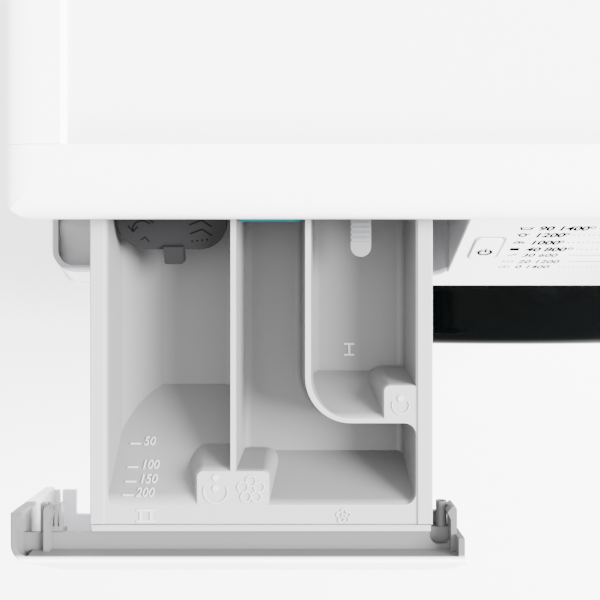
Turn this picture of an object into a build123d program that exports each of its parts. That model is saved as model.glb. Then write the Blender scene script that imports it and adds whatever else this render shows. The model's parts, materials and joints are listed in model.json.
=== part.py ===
from build123d import *
import math
import os

# Front-loading washing machine, free-standing, with the detergent drawer pulled out.
# Millimetres, +Z up, front towards -Y. The origin is on the floor under the centre of the overall box,
# which runs from the pulled-out drawer front to the worktop's rear edge.

# ---- driving dimensions -------------------------------------------------------------------------
HALF_W = 300.0  # half the machine's width
HEIGHT = 850.0  # floor to worktop
REAR_Y = 352.5  # rear edge of the worktop
TOP_FRONT_Y = -157.5  # front edge of the worktop
TRIM_DEPTH = 35.0  # worktop's front trim, front to back
RAIL_W = 30.4  # worktop's side rails
TRIM_UNDER_Z = 839.5  # underside of the front trim
ROLL_RUN, ROLL_DROP = 15.0, 6.0  # soft roll of the worktop's side edges
NOSE_RUN, NOSE_DROP = 14.0, 8.0  # and of its front edge
CASE_TOP_Z = 835.0  # top of the steel case

PANEL_TOP_Z = 839.0  # control panel's upper edge
PANEL_TOP_Y = -155.5
PANEL_LOW_Z = 751.0  # its lower edge
PANEL_TILT = 20.5  # degrees that the panel leans back
PANEL_T = 3.0  # its wall
PANEL_BACK_Y = -140.0  # rear of the fascia moulding
POCKET_BACK_Y = -122.3  # rear of the drawer pocket
FRONT_Y = -178.0  # outer face of the steel front
STEEL_T = 1.2  # sheet thickness

DRAWER_TRAVEL = 171.6  # how far the drawer pulls out
DRAWER_FRONT_LOW_Z = 771.0
DRAWER_FRONT_L_X, DRAWER_FRONT_R_X = -300.0, -73.5
POCKET_R_X = -71.5  # right wall of the drawer pocket
POCKET_FLOOR_Z = 770.0  # floor of the drawer pocket
CHANNEL_R = 15.0  # trough beside the pocket's right wall
TRAY_RIM_Z = 830.0  # top of the sliding flanges
TRAY_L_X, TRAY_R_X = -262.8, -90.0  # outer edges of the tray's sliding flanges
TRAY_FRONT_Y, TRAY_REAR_Y = -313.8, -74.0

AXIS_Z = 440.0  # height of the drum's axis
TUB_R = 262.0  # outer radius of the tub
DRUM_R = 238.0  # outer radius of the drum
DOOR_R = 235.0  # outer radius of the door
DOOR_BACK_Y, DOOR_FRONT_Y = -183.0, -228.4
BEVEL_R = 12.0  # rounding of the door's front edge
HINGE_X, HINGE_Y = -229.0, -205.0
SHAFT_R = 14.97  # drum shaft
PULLEY_R = 140.0  # drum pulley
MOTOR_X, MOTOR_Z = -95.0, 105.0
MOTOR_PULLEY_R = 11.0
PUMP_X, PUMP_Z = 205.0, 70.0
FOOT_X, FOOT_FRONT_Y, FOOT_REAR_Y = 262.0, -140.0, 312.0

# Panel frame
PANEL_MID_Z = 796.0  # height of the origin of the frame on the panel's face
TILT_C = math.cos(math.radians(PANEL_TILT))
TILT_S = math.sin(math.radians(PANEL_TILT))

# Steel case, base and feet
SIDE_X = 299.0  # outer face of the side sheets
SIDE_FRONT_Y, SIDE_REAR_Y = -176.6, 347.0
SIDE_LOW_Z = 24.0
RETURN_W = 16.0  # width of the folded returns
HANGER_Y, HANGER_Z, SPRING_X = 150.0, 812.0, 190.0  # where the springs hang
VALVE_X, VALVE_Z = -235.0, 790.0
GLAND_X, GLAND_Z = 250.0, 110.0
DRAIN_X, DRAIN_Z = -250.0, 130.0
TRANSIT_R = 15.0  # transit-bolt holes
TRANSIT_PLACES = [(x, z) for x in (-150.0, 150.0) for z in (250.0, 610.0)]
FOOT_PLACES = [(x, y) for x in (-FOOT_X, FOOT_X) for y in (FOOT_FRONT_Y, FOOT_REAR_Y)]
STUD_R, SOCKET_CLEAR = 5.0, 0.06  # foot stud and the clearance round it
HOLE_R = 180.0  # loading hole
FLAP_X0, FLAP_X1, FLAP_Z0, FLAP_Z1 = 145.0, 265.0, 36.0, 104.0
FLAP_PIVOT_Y, FLAP_PIVOT_Z = -178.4, 38.0

# Keys, knob and display
POWER_X, POWER_V = -56.8, 6.4
KEY_W, KEY_H = 14.0, 25.6
KEY_GAP = 0.75  # clearance round a key
KEY_SAG = 0.45  # how far a key sits below the middle of its hole
KNOB_X = 62.0
DISPLAY_X = 158.0
OPTION_XS, OPTION_V = (128.0, 188.0), -25.0
START_X = 246.0

# Detergent drawer
FLANGE_L_IN, FLANGE_R_IN = -255.5, -97.8
INNER_RIM_Z = 829.2  # top of the compartments
BODY_L, BODY_R = -258.5, -94.5
TRAY_LOW_Z = 776.0  # underside of the tray
RIM_FRONT_Y = -300.7  # front edge of the compartments
CAVITY_REAR_Y = -84.0  # and their rear edge
DIVIDER_1, DIVIDER_2 = (-192.0, -189.4), (-154.2, -151.5)  # faces of the two dividers
PREWASH_FRONT_Y = -257.1
WALL_2_FRONT_Y = -259.5
FLAP2_X, FLAP2_HALF = -223.4, 28.6
FLAP2_PIVOT_Y, FLAP2_PIVOT_Z = -140.0, 823.0
LEVER_PIVOT_Y, LEVER_Z = -90.0, 819.0

# Tub, drum and drive
DAMPER_X, DAMPER_Y, DAMPER_LOW_Z = 150.0, 30.0, 42.0
TUB_FRONT_Y, TUB_JOIN_Y, TUB_REAR_Y = -114.0, 60.0, 235.0
BELT_Y0, BELT_Y1 = 294.0, 312.0
SUMP_X, SUMP_Y = 100.0, -60.0
HOSE_X, HOSE_Y = -200.0, 85.0  # hose between the dispenser and the tub
HEATER_X, HEATER_Z, HEATER_R = 26.0, AXIS_Z - 247.0, 3.6

# Door
HOOK_X, HOOK_Y = 203.0, -194.0

# Water and mains
PUMP_OUT_Y = -55.0
DRAIN_HOSE_X, DRAIN_HOSE_Y = 268.0, 332.0

SLOPE = TILT_S / TILT_C
OUT = "parts"


# ---- small helpers ------------------------------------------------------------------------------
def block(x0, x1, y0, y1, z0, z1):
    """A box between two corners."""
    size = Box(x1 - x0, y1 - y0, z1 - z0)
    return Pos((x0 + x1) / 2, (y0 + y1) / 2, (z0 + z1) / 2) * size


def rod_y(r, y0, y1, x=0.0, z=AXIS_Z):
    """A cylinder along Y."""
    return Pos(x, (y0 + y1) / 2, z) * Rot(90, 0, 0) * Cylinder(r, y1 - y0)


def rod_z(r, z0, z1, x=0.0, y=0.0):
    """A cylinder along Z."""
    return Pos(x, y, (z0 + z1) / 2) * Cylinder(r, z1 - z0)


def rod_x(r, x0, x1, y=0.0, z=0.0):
    """A cylinder along X."""
    return Pos((x0 + x1) / 2, y, z) * Rot(0, 90, 0) * Cylinder(r, x1 - x0)


def ring_y(r_in, r_out, y0, y1, x=0.0, z=AXIS_Z):
    """A ring whose axis runs along Y."""
    return rod_y(r_out, y0, y1, x, z) - rod_y(r_in, y0 - 1, y1 + 1, x, z)


def turned(points, arc=360.0, z=AXIS_Z):
    """Revolves a closed outline of (radius, y) points about the Y axis through (0, z)."""
    face = Plane.XY * make_face(Polyline(*[(r, y) for r, y in points], close=True))
    return Pos(0, 0, z) * revolve(face, Axis.Y, arc)


def prism_x(points, x0, x1):
    """Extrudes a closed outline of (y, z) points from x0 to x1."""
    face = make_face(Polyline(*[(y, z) for y, z in points], close=True))
    plane = Plane(origin=(x0, 0, 0), x_dir=(0, 1, 0), z_dir=(1, 0, 0))
    return extrude(plane * face, x1 - x0)


def panel_y(z):
    """The leaning face's Y at height z, with the drawer closed."""
    return PANEL_TOP_Y - (PANEL_TOP_Z - z) * SLOPE


# Local frame on the panel's face: x to the right, y up the slope, z outwards.
PANEL = Plane(
    origin=(0, panel_y(PANEL_MID_Z), PANEL_MID_Z), x_dir=(1, 0, 0), z_dir=(0, -TILT_C, TILT_S)
)


def on_panel(x, v, w):
    """Location at x, v up the slope and w out of the face."""
    return PANEL.location * Pos(x, v, w)


def rounded_plate(width, height, radius, thick):
    """A plate with round corners, its back on z = 0."""
    return extrude(RectangleRounded(width, height, radius), thick)


NODES = {}


def node(name, *solids):
    """Keeps the solids of one sub-part, under its name."""
    NODES[name] = Compound(children=[s for part in solids for s in part.solids()])


# ---- steel case ---------------------------------------------------------------------------------


def side_panel(sign, notch_y):
    """One folded side sheet with its returns, the tab a suspension spring hangs from and a front notch."""
    x_out, x_in = SIDE_X, SIDE_X - STEEL_T
    x_ret = x_in - RETURN_W
    sheet = block(x_in, x_out, SIDE_FRONT_Y, SIDE_REAR_Y, SIDE_LOW_Z, CASE_TOP_Z)
    sheet += block(x_ret, x_in, SIDE_FRONT_Y, SIDE_FRONT_Y + STEEL_T, 112, 748)
    sheet += block(x_ret, x_in, SIDE_REAR_Y - STEEL_T, SIDE_REAR_Y, SIDE_LOW_Z, CASE_TOP_Z)
    sheet += block(x_ret, x_in, notch_y, SIDE_REAR_Y, CASE_TOP_Z - STEEL_T, CASE_TOP_Z)
    sheet += block(SPRING_X - 12, x_in, HANGER_Y - 12, HANGER_Y + 12, HANGER_Z, HANGER_Z + 3)
    sheet -= block(x_ret - 1, x_out + 1, -200, notch_y, 748.4, CASE_TOP_Z + 1)
    # Stiffening bead pressed into the large flat.
    bead = extrude(RectangleRounded(300, 420, 60), 0.6) - extrude(RectangleRounded(292, 412, 56), 0.6)
    sheet += Pos(x_out - 0.05, 110, 400) * Rot(0, 90, 0) * Rot(0, 0, 90) * bead
    return sheet if sign > 0 else mirror(sheet, about=Plane.YZ)


def back_panel():
    """Rear sheet with a raised field and holes for the water inlet, mains cable, drain and transit bolts."""
    sheet = block(-SIDE_X, SIDE_X, SIDE_REAR_Y, SIDE_REAR_Y + STEEL_T, 60, CASE_TOP_Z)
    field = extrude(RectangleRounded(440, 520, 40), 1.8)
    sheet += Pos(0, SIDE_REAR_Y + STEEL_T - 0.01, 430) * Rot(-90, 0, 0) * field
    holes = [(VALVE_X, VALVE_Z, 14.0), (GLAND_X, GLAND_Z, 9.0), (DRAIN_X, DRAIN_Z, 12.0)]
    holes += [(x, z, TRANSIT_R) for x, z in TRANSIT_PLACES]
    for x, z, r in holes:
        sheet -= rod_y(r, SIDE_REAR_Y - 1, SIDE_REAR_Y + 5, x, z)
    return sheet


def base_tray():
    """Moulded base pan with a socket over each foot and a post under each damper."""
    pan = block(-296, 296, -172, 345.5, 20, 60) - block(-292, 292, -168, 341.5, 24, 61)
    pan += Pos(0, 87, 23) * (Box(500, 6, 14) + Box(6, 430, 14))
    for x, y in FOOT_PLACES:
        pan += block(x - 18, x + 18, y - 18, y + 18, 20, 52)
    for x in (-DAMPER_X, DAMPER_X):
        pan += block(x - 16, x + 16, DAMPER_Y - 16, DAMPER_Y + 16, 20, DAMPER_LOW_Z)
    for x, y in FOOT_PLACES:
        pan -= rod_z(STUD_R + SOCKET_CLEAR, 19, 53, x, y)
    pan -= block(PUMP_X - 40, PUMP_X + 40, -175, -150, 30, 61)
    return pan


def foot(x, y):
    """Levelling foot: rubber-shod pad, hexagonal collar and threaded stud."""
    pad = fillet(rod_z(21, 0, 8, x, y).edges().group_by(Axis.Z)[-1], 2)
    collar = Pos(x, y, 8) * extrude(RegularPolygon(9, 6), 6)
    return pad + collar + rod_z(STUD_R, 14, 50, x, y)


def front_panel():
    """Steel front with the loading hole, its turned-in collar, and the door lock's slot."""
    sheet = block(-297, 297, FRONT_Y, FRONT_Y + STEEL_T, 110.5, 748.5)
    sheet -= rod_y(HOLE_R, FRONT_Y - 1, FRONT_Y + 3)
    sheet += ring_y(HOLE_R - 1.2, HOLE_R, FRONT_Y, -166)
    sheet -= block(198, 216, FRONT_Y - 1, FRONT_Y + 3, 425, 455)
    return sheet


def plinth():
    """Kick strip with the opening for the filter flap."""
    strip = block(-297, 297, -179.5, -176, 24, 110)
    strip += block(-297, 297, -176, -173, 24, 27)
    strip = fillet(strip.edges().filter_by(Axis.Z).group_by(Axis.Y)[0], 2.5)
    strip -= block(FLAP_X0 - 0.8, FLAP_X1 + 0.8, -181, -172, FLAP_Z0 - 0.8, FLAP_Z1 + 0.8)
    return strip - rod_x(1.05, FLAP_X0 - 5, FLAP_X1 + 5, FLAP_PIVOT_Y, FLAP_PIVOT_Z)


def filter_flap():
    """Small service flap, hinged along its lower edge, with a finger notch in the upper one."""
    plate = block(FLAP_X0, FLAP_X1, -179.5, -176.6, FLAP_Z0, FLAP_Z1)
    plate = fillet(plate.edges().filter_by(Axis.Y).group_by(Axis.Z)[-1], 3)
    plate -= Pos(FLAP_X1 - 22, -180, FLAP_Z1) * Rot(90, 0, 0) * Cylinder(9, 4)
    return plate + rod_x(1.0, FLAP_X0 - 4, FLAP_X1 + 4, FLAP_PIVOT_Y, FLAP_PIVOT_Z)


# ---- worktop ------------------------------------------------------------------------------------
def rolled_outline(half_width, low):
    """Cross-section of the worktop, from side to side: both upper edges roll down in a quarter ellipse."""
    outline = rect_between(-half_width, half_width, low, HEIGHT - ROLL_DROP)
    outline += rect_between(ROLL_RUN - half_width, half_width - ROLL_RUN, low, HEIGHT)
    for x in (ROLL_RUN - half_width, half_width - ROLL_RUN):
        outline += Pos(x, HEIGHT - ROLL_DROP) * Ellipse(ROLL_RUN, ROLL_DROP)
    return outline


def worktop_blank(y0, y1, low):
    """A length of the worktop between two Y planes, with rolled side edges."""
    across = Plane(origin=(0, y0, 0), x_dir=(1, 0, 0), z_dir=(0, -1, 0))
    blank = extrude(across * rolled_outline(HALF_W, low), y0 - y1)
    return blank & block(-HALF_W, HALF_W, y0, y1, low, HEIGHT)


def worktop():
    """Coated board, a front trim, and the frame that holds its other three sides."""
    rear_of_trim = TOP_FRONT_Y + TRIM_DEPTH
    seam = 0.25
    nose_z = HEIGHT - NOSE_DROP
    nose = rect_between(TOP_FRONT_Y + NOSE_RUN, rear_of_trim, TRIM_UNDER_Z, HEIGHT)
    nose += rect_between(TOP_FRONT_Y, rear_of_trim, TRIM_UNDER_Z, nose_z)
    nose += Pos(TOP_FRONT_Y + NOSE_RUN, nose_z) * Ellipse(NOSE_RUN, NOSE_DROP)
    plan = rect_between(-HALF_W, HALF_W, TOP_FRONT_Y, rear_of_trim)
    plan = fillet(plan.vertices().group_by(Axis.Y)[0], 12)
    sideways = Plane(origin=(-HALF_W, 0, 0), x_dir=(0, 1, 0), z_dir=(1, 0, 0))
    trim = extrude(sideways * nose, 2 * HALF_W) & worktop_blank(TOP_FRONT_Y, rear_of_trim, TRIM_UNDER_Z)
    trim &= extrude(Plane.XY.offset(TRIM_UNDER_Z) * plan, HEIGHT - TRIM_UNDER_Z)
    node("worktop_front_trim", trim)

    y0 = rear_of_trim + seam
    inner_x, inner_y = HALF_W - RAIL_W, REAR_Y - 28
    frame = worktop_blank(y0, REAR_Y, CASE_TOP_Z)
    rear_edge = frame.edges().group_by(Axis.Z)[-1].group_by(Axis.Y)[-1]
    frame = fillet(rear_edge, 5)
    frame -= block(-inner_x, inner_x, y0 - 1, inner_y, CASE_TOP_Z - 1, HEIGHT + 1)
    inner = [
        e
        for e in frame.edges().group_by(Axis.Z)[-1]
        if abs(e.center().X) < inner_x + 0.1 and y0 + 1 < e.center().Y < inner_y + 0.1
    ]
    frame = chamfer(inner, 2.4)
    node("worktop_frame", frame)
    node("worktop_board", block(-inner_x, inner_x, y0, inner_y, CASE_TOP_Z, HEIGHT - 3))


# ---- control panel ------------------------------------------------------------------------------


def pocket_insert():
    """Floor and right wall of the drawer pocket: the floor holds a shallow dish with two soft waves."""
    lip = panel_y(756)
    floor = prism_x(
        [
            (panel_y(POCKET_FLOOR_Z), POCKET_FLOOR_Z),
            (lip, 756),
            (POCKET_BACK_Y, 756),
            (POCKET_BACK_Y, POCKET_FLOOR_Z),
        ],
        -HALF_W,
        POCKET_R_X + 2.5,
    )
    wall = prism_x(
        [
            (panel_y(PANEL_TOP_Z), PANEL_TOP_Z),
            (lip, 756),
            (POCKET_BACK_Y, 756),
            (POCKET_BACK_Y, 834.7),
            (PANEL_BACK_Y, PANEL_TOP_Z),
        ],
        POCKET_R_X,
        POCKET_R_X + 2.5,
    )
    # The dish: a recess with a round front corner, whose floor rises and falls in two soft waves.
    x0, x1 = -HALF_W + 3.8, POCKET_R_X - 30
    y0 = panel_y(POCKET_FLOOR_Z) + 4.0
    outline = rect_between(x0, x1, y0, POCKET_BACK_Y + 5)
    outline = fillet(outline.vertices().group_by(Axis.X)[0].group_by(Axis.Y)[0], 9)
    dish = extrude(Plane.XY.offset(POCKET_FLOOR_Z - 12) * outline, 14)
    dips = [(0, 0.0), (4.5, 5.0), (10, 6.4), (17, 4.6), (23, 3.0), (29, 4.6), (36, 6.6), (44, 7.0)]
    wave = Spline(*[(y0 + run, POCKET_FLOOR_Z - dip) for run, dip in dips])
    rear, top = y0 + dips[-1][0], POCKET_FLOOR_Z + 2
    lid = Polyline(wave @ 1, (rear + 30, POCKET_FLOOR_Z - 7), (rear + 30, top), (y0, top), wave @ 0)
    sideways = Plane(origin=(x0 - 1, 0, 0), x_dir=(0, 1, 0), z_dir=(1, 0, 0))
    dish &= extrude(sideways * make_face(wave + lid), x1 - x0 + 2)
    # A trough along the right wall, open at the front.
    channel = rod_y(CHANNEL_R, lip - 2, POCKET_BACK_Y, POCKET_R_X - CHANNEL_R, POCKET_FLOOR_Z + 7.5)
    return floor - dish - channel + wall


def key_hole(x, v, width, height):
    return on_panel(x, v, -8) * rounded_plate(width + 2 * KEY_GAP, height + 2 * KEY_GAP, 3 + KEY_GAP, 16)


def control_panel():
    """Leaning fascia, moulded as a shell, with the drawer pocket at its left end."""
    back = PANEL_BACK_Y
    outer = prism_x(
        [
            (panel_y(PANEL_TOP_Z), PANEL_TOP_Z),
            (panel_y(PANEL_LOW_Z), PANEL_LOW_Z),
            (FRONT_Y - 1, 748.7),
            (back, 748.7),
            (back, PANEL_TOP_Z),
        ],
        -HALF_W,
        HALF_W,
    )
    ends = [
        e
        for e in outer.edges()
        if abs(abs(e.center().X) - HALF_W) < 0.1 and e.center().Y < -165 and 770 < e.center().Z < 830
    ]
    outer = fillet(ends, 14)
    deep = PANEL_T / TILT_C
    z_hi, z_lo = PANEL_TOP_Z - 2.5, 751.6
    hollow = prism_x(
        [
            (panel_y(z_hi) + deep, z_hi),
            (panel_y(z_lo) + deep, z_lo),
            (back + 1, z_lo),
            (back + 1, z_hi),
        ],
        -HALF_W + 3,
        HALF_W - 3,
    )
    shell = outer - hollow
    shell -= block(-HALF_W - 1, POCKET_R_X, -210, -100, POCKET_FLOOR_Z - CHANNEL_R, 841)
    rear_of_pocket = block(-297.6, POCKET_R_X + 2.5, -160, POCKET_BACK_Y, 756, PANEL_TOP_Z)
    shell += pocket_insert() & (outer + rear_of_pocket)
    shell -= key_hole(POWER_X, POWER_V, KEY_W, KEY_H)
    shell -= key_hole(START_X, 0, KEY_W, KEY_H)
    for x in OPTION_XS:
        shell -= key_hole(x, OPTION_V, 22, 9)
    shell -= on_panel(DISPLAY_X, 8, -8) * rounded_plate(96.6, 40.6, 4.3, 16)
    shell -= on_panel(KNOB_X, 0, -6) * Cylinder(4.06, 20)
    shell -= on_panel(KNOB_X, 0, -1.2) * extrude(Circle(30), 4)
    return shell


def key(x, v, width, height, rise):
    """A push key whose face stands a little proud at its upper end, with a stem behind."""
    face = rounded_plate(width, height, 3, 4.0)
    face = Pos(0, 0, -3.4) * face
    wedge = Pos(0, height / 2 - 2, 0.6) * Rot(math.degrees(math.atan(rise / height)), 0, 0)
    face += wedge * Pos(0, 1.5 - height / 2, -0.6) * rounded_plate(width - 1.2, height - 3.4, 2.2, 0.7)
    stem = Pos(0, 0, -5.9) * Box(width - 6, min(8, height - 3), 5.2)
    return on_panel(x, v - KEY_SAG, 0) * (face + stem)


def program_knob():
    """Selector knob: skirt, finger-ribbed grip, pointer and the spindle that passes the panel."""
    skirt = Pos(0, 0, -0.9) * extrude(Circle(28.5), 4)
    grip = Pos(0, 0, 3) * extrude(Circle(24), 15, taper=3)
    grip = fillet(grip.edges().group_by(Axis.Z)[-1], 2.5)
    for i in range(24):
        angle = math.radians(i * 15 + 7.5)
        grip -= Pos(25.6 * math.cos(angle), 25.6 * math.sin(angle), 10) * Cylinder(2.1, 18)
    mark = Pos(0, 17, 17.6) * Box(2.4, 9, 1.6)
    spindle = Pos(0, 0, -5.5) * Cylinder(4.0, 11)
    return on_panel(KNOB_X, 0, 0) * (skirt + grip + mark + spindle)


def control_board():
    """Printed board in the panel, with display block, relays and key switches."""
    board = on_panel(150, 2, -17) * Box(250, 62, 1.6)
    parts = [(158, 8, 70, 28, 7), (60, 0, 26, 26, 4), (222, -12, 16, 20, 9), (196, 24, 22, 12, 9)]
    for x, v, w, h, d in parts:
        board += on_panel(x, v, -16.2 + d / 2) * Box(w, h, d)
    return board


# ---- detergent drawer ---------------------------------------------------------------------------


def cavity(outline, depth, taper, floor_fillet):
    """A tapered pocket, cut downwards from the rim, with a rounded floor."""
    pocket = extrude(Plane.XY.offset(INNER_RIM_Z) * outline, -depth, taper=taper)
    return fillet(pocket.edges().group_by(Axis.Z)[0], floor_fillet)


def rect_between(x0, x1, y0, y1):
    return Pos((x0 + x1) / 2, (y0 + y1) / 2) * Rectangle(x1 - x0, y1 - y0)


def ramp(x0, x1, y_front, run, depth):
    """The wedge left under a sloping front wall."""
    floor = INNER_RIM_Z - depth
    return prism_x(
        [(y_front - 2, INNER_RIM_Z + 2 * depth / run), (y_front + run, floor), (y_front - 2, floor - 9)],
        x0,
        x1,
    )


def raised_tab(x0, x1, y0, y1, depth, flare, round_ends):
    """A flat-topped block that stands against a compartment's front wall and widens downwards."""
    top = rect_between(x0, x1, y0, y1)
    rear = top.vertices().group_by(Axis.Y)[-1].sort_by(Axis.X)
    top = fillet([rear[i] for i in round_ends], 3)
    return extrude(Plane.XY.offset(INNER_RIM_Z) * top, -depth, taper=-flare)


def drawer_tray():
    """Three-compartment detergent tray with sliding flanges along both sides."""
    tray = block(BODY_L, BODY_R, TRAY_FRONT_Y, TRAY_REAR_Y, TRAY_LOW_Z, INNER_RIM_Z)
    tray = fillet(tray.edges().group_by(Axis.Z)[0], 5)
    for x0, x1 in ((TRAY_L_X, FLANGE_L_IN), (FLANGE_R_IN, TRAY_R_X)):
        flange = block(x0, x1, TRAY_FRONT_Y + 3.4, TRAY_REAR_Y, 826.4, TRAY_RIM_Z)
        tray += chamfer(flange.edges().filter_by(Axis.Y).group_by(Axis.Z)[-1], 0.5)
    tray += block(TRAY_L_X + 1, TRAY_R_X - 1, TRAY_FRONT_Y, TRAY_FRONT_Y + 3.0, 824, TRAY_RIM_Z)
    tray -= block(TRAY_L_X + 1, TRAY_R_X - 1, TRAY_FRONT_Y + 3.0, TRAY_FRONT_Y + 3.6, 828.2, 832)

    wash_floor, soft_floor, pre_floor = 51.0, 42.0, 39.0
    wash = rect_between(-254.7, DIVIDER_1[0], RIM_FRONT_Y, CAVITY_REAR_Y)
    wash = fillet(wash.vertices().sort_by(Axis.X)[:2], 5)
    wash_cut = cavity(wash, wash_floor, 3, 4) - ramp(-260, -190, RIM_FRONT_Y, 56, wash_floor)
    # A broad curved slope leads the outer wall in towards the floor.
    curve = ThreePointArc((-255.6, 814.0), (-248.4, 790.5), (-232.0, 777.2))
    slope = make_face(curve + Polyline((-232.0, 777.2), (-262.0, 770.0), (-262.0, 814.0), (-255.6, 814.0)))
    across = Plane(origin=(0, -70, 0), x_dir=(1, 0, 0), z_dir=(0, -1, 0))
    wash_cut -= extrude(across * slope, 240)

    soft = rect_between(DIVIDER_1[1], DIVIDER_2[0], RIM_FRONT_Y, CAVITY_REAR_Y)
    soft += rect_between(DIVIDER_2[0] - 1, -98.2, RIM_FRONT_Y, WALL_2_FRONT_Y)
    inner = soft.vertices().sort_by_distance((DIVIDER_2[0], WALL_2_FRONT_Y))[0]
    soft = fillet(inner, 23)
    right = [v for v in soft.vertices() if abs(v.X + 98.2) < 0.1]
    soft = fillet(right, 6)
    soft_cut = cavity(soft, soft_floor, 3, 3.5) - ramp(-190, -96, RIM_FRONT_Y, 20, soft_floor)

    pre = rect_between(DIVIDER_2[1], -98.2, PREWASH_FRONT_Y, CAVITY_REAR_Y)
    pre = fillet(pre.vertices().sort_by_distance((DIVIDER_2[1], PREWASH_FRONT_Y))[0], 20.4)
    pre_cut = cavity(pre, pre_floor, 3, 3.5) - ramp(-152, -96, PREWASH_FRONT_Y, 21, pre_floor)

    tray -= wash_cut + soft_cut + pre_cut
    inside = block(BODY_L + 2, BODY_R - 2, TRAY_FRONT_Y + 4, TRAY_REAR_Y - 4, TRAY_LOW_Z + 1, INNER_RIM_Z)
    tab_split = (DIVIDER_1[0] + DIVIDER_1[1]) / 2
    inside_wash = inside & block(BODY_L, tab_split, TRAY_FRONT_Y, 0, TRAY_LOW_Z, INNER_RIM_Z)
    inside_soft = inside & block(tab_split, BODY_R, TRAY_FRONT_Y, 0, TRAY_LOW_Z, INNER_RIM_Z)
    tray += raised_tab(-208.8, -190.7, RIM_FRONT_Y - 4, -283.8, 47, 22, [0]) & inside_wash
    tray += raised_tab(-190.7, -172.7, RIM_FRONT_Y - 4, -283.8, 40, 7, [1]) & inside_soft
    tray += raised_tab(-114.3, -97.0, PREWASH_FRONT_Y - 1, -240.5, 36, 11, [0, 1]) & inside
    # Bridge that the release lever springs from.
    tray += block(-140, -111, LEVER_PIVOT_Y + 2.0, TRAY_REAR_Y - 1, LEVER_Z - 6, LEVER_Z + 4)
    return tray


def liquid_flap():
    """Dark flap that dams the wash compartment for liquid: a broad shield with a stepped grip."""
    shield = rect_between(-FLAP2_HALF, FLAP2_HALF, -33.0, 0)
    shield = fillet(shield.vertices().group_by(Axis.Y)[0], 15)
    plate = extrude(shield, 2.2, taper=6)
    plate += Rot(0, 90, 0) * Cylinder(2.4, 2 * FLAP2_HALF)
    grip = make_face(Polyline((-6.2, -7), (6.2, -7), (4.5, -30.5), (-4.5, -30.5), close=True))
    nose = fillet(rect_between(-5.8, 5.8, -41.0, -30.0).vertices().group_by(Axis.Y)[0], 2)
    plate += extrude(Plane.XY.offset(2) * grip, 4.2, taper=12)
    plate += extrude(Plane.XY.offset(0.4) * nose, 4.0, taper=10)
    return Pos(FLAP2_X, FLAP2_PIVOT_Y, FLAP2_PIVOT_Z) * Rot(25, 0, 0) * plate


def release_lever():
    """Springy ribbed tongue that is pressed down to take the drawer out."""
    tongue = rect_between(-130.8, -120.3, -169.8, LEVER_PIVOT_Y) + Pos(-125.55, -169.8) * Circle(5.25)
    lever = extrude(Plane.XY.offset(LEVER_Z) * tongue, 2.2)
    lever += rod_x(1.6, -130.8, -120.3, LEVER_PIVOT_Y, LEVER_Z + 1.1)
    for i in range(5):
        lever += block(-130.3, -120.8, -167 + i * 2.7, -165.9 + i * 2.7, LEVER_Z + 2.2, LEVER_Z + 3.2)
    return lever


def siphon_cap():
    """Coloured cap over the softener siphon, with its two side skirts and centre tube."""
    cap = block(-187.6, -156.0, -156.7, -98, 823.5, 826)
    cap = fillet(cap.edges().filter_by(Axis.Z), 2)
    cap += block(-186.6, -157.0, -154.5, -152.9, 812, 824)
    tube = rod_z(7, 792, 824, -171.8, -118) - rod_z(4.6, 791, 820, -171.8, -118)
    return cap + tube


def face_y(z):
    """The drawer front's outer face at height z, with the drawer pulled out."""
    return panel_y(z) - DRAWER_TRAVEL


def leaning_prism(y_shift, low, top, rear_y, x0, x1):
    """A body between the leaning face, moved back by y_shift, and a vertical rear plane."""
    outline = [(face_y(top) + y_shift, top), (face_y(low) + y_shift, low), (rear_y, low), (rear_y, top)]
    return prism_x(outline, x0, x1)


def left_front_corner(body, x):
    """The leaning edge where the face meets the end wall at x."""
    middle = DRAWER_FRONT_LOW_Z + 34
    return [
        e
        for e in body.edges()
        if abs(e.center().X - x) < 0.1 and e.center().Y < -330 and abs(e.center().Z - middle) < 15
    ]


def snap_hook(x, side, y_tip, y_root):
    """A flat hook that points to the rear, its barb on the given side."""
    half = 1.5
    outline = make_face(
        Polyline(
            (x - side * half, y_root),
            (x - side * half, y_tip - 1.5),
            (x - side * 0.6, y_tip),
            (x + side * 0.6, y_tip),
            (x + side * 3.2, y_tip - 3.2),
            (x + side * half, y_tip - 7),
            (x + side * half, y_root),
            close=True,
        )
    )
    return extrude(Plane.XY.offset(818) * outline, 13)


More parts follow.
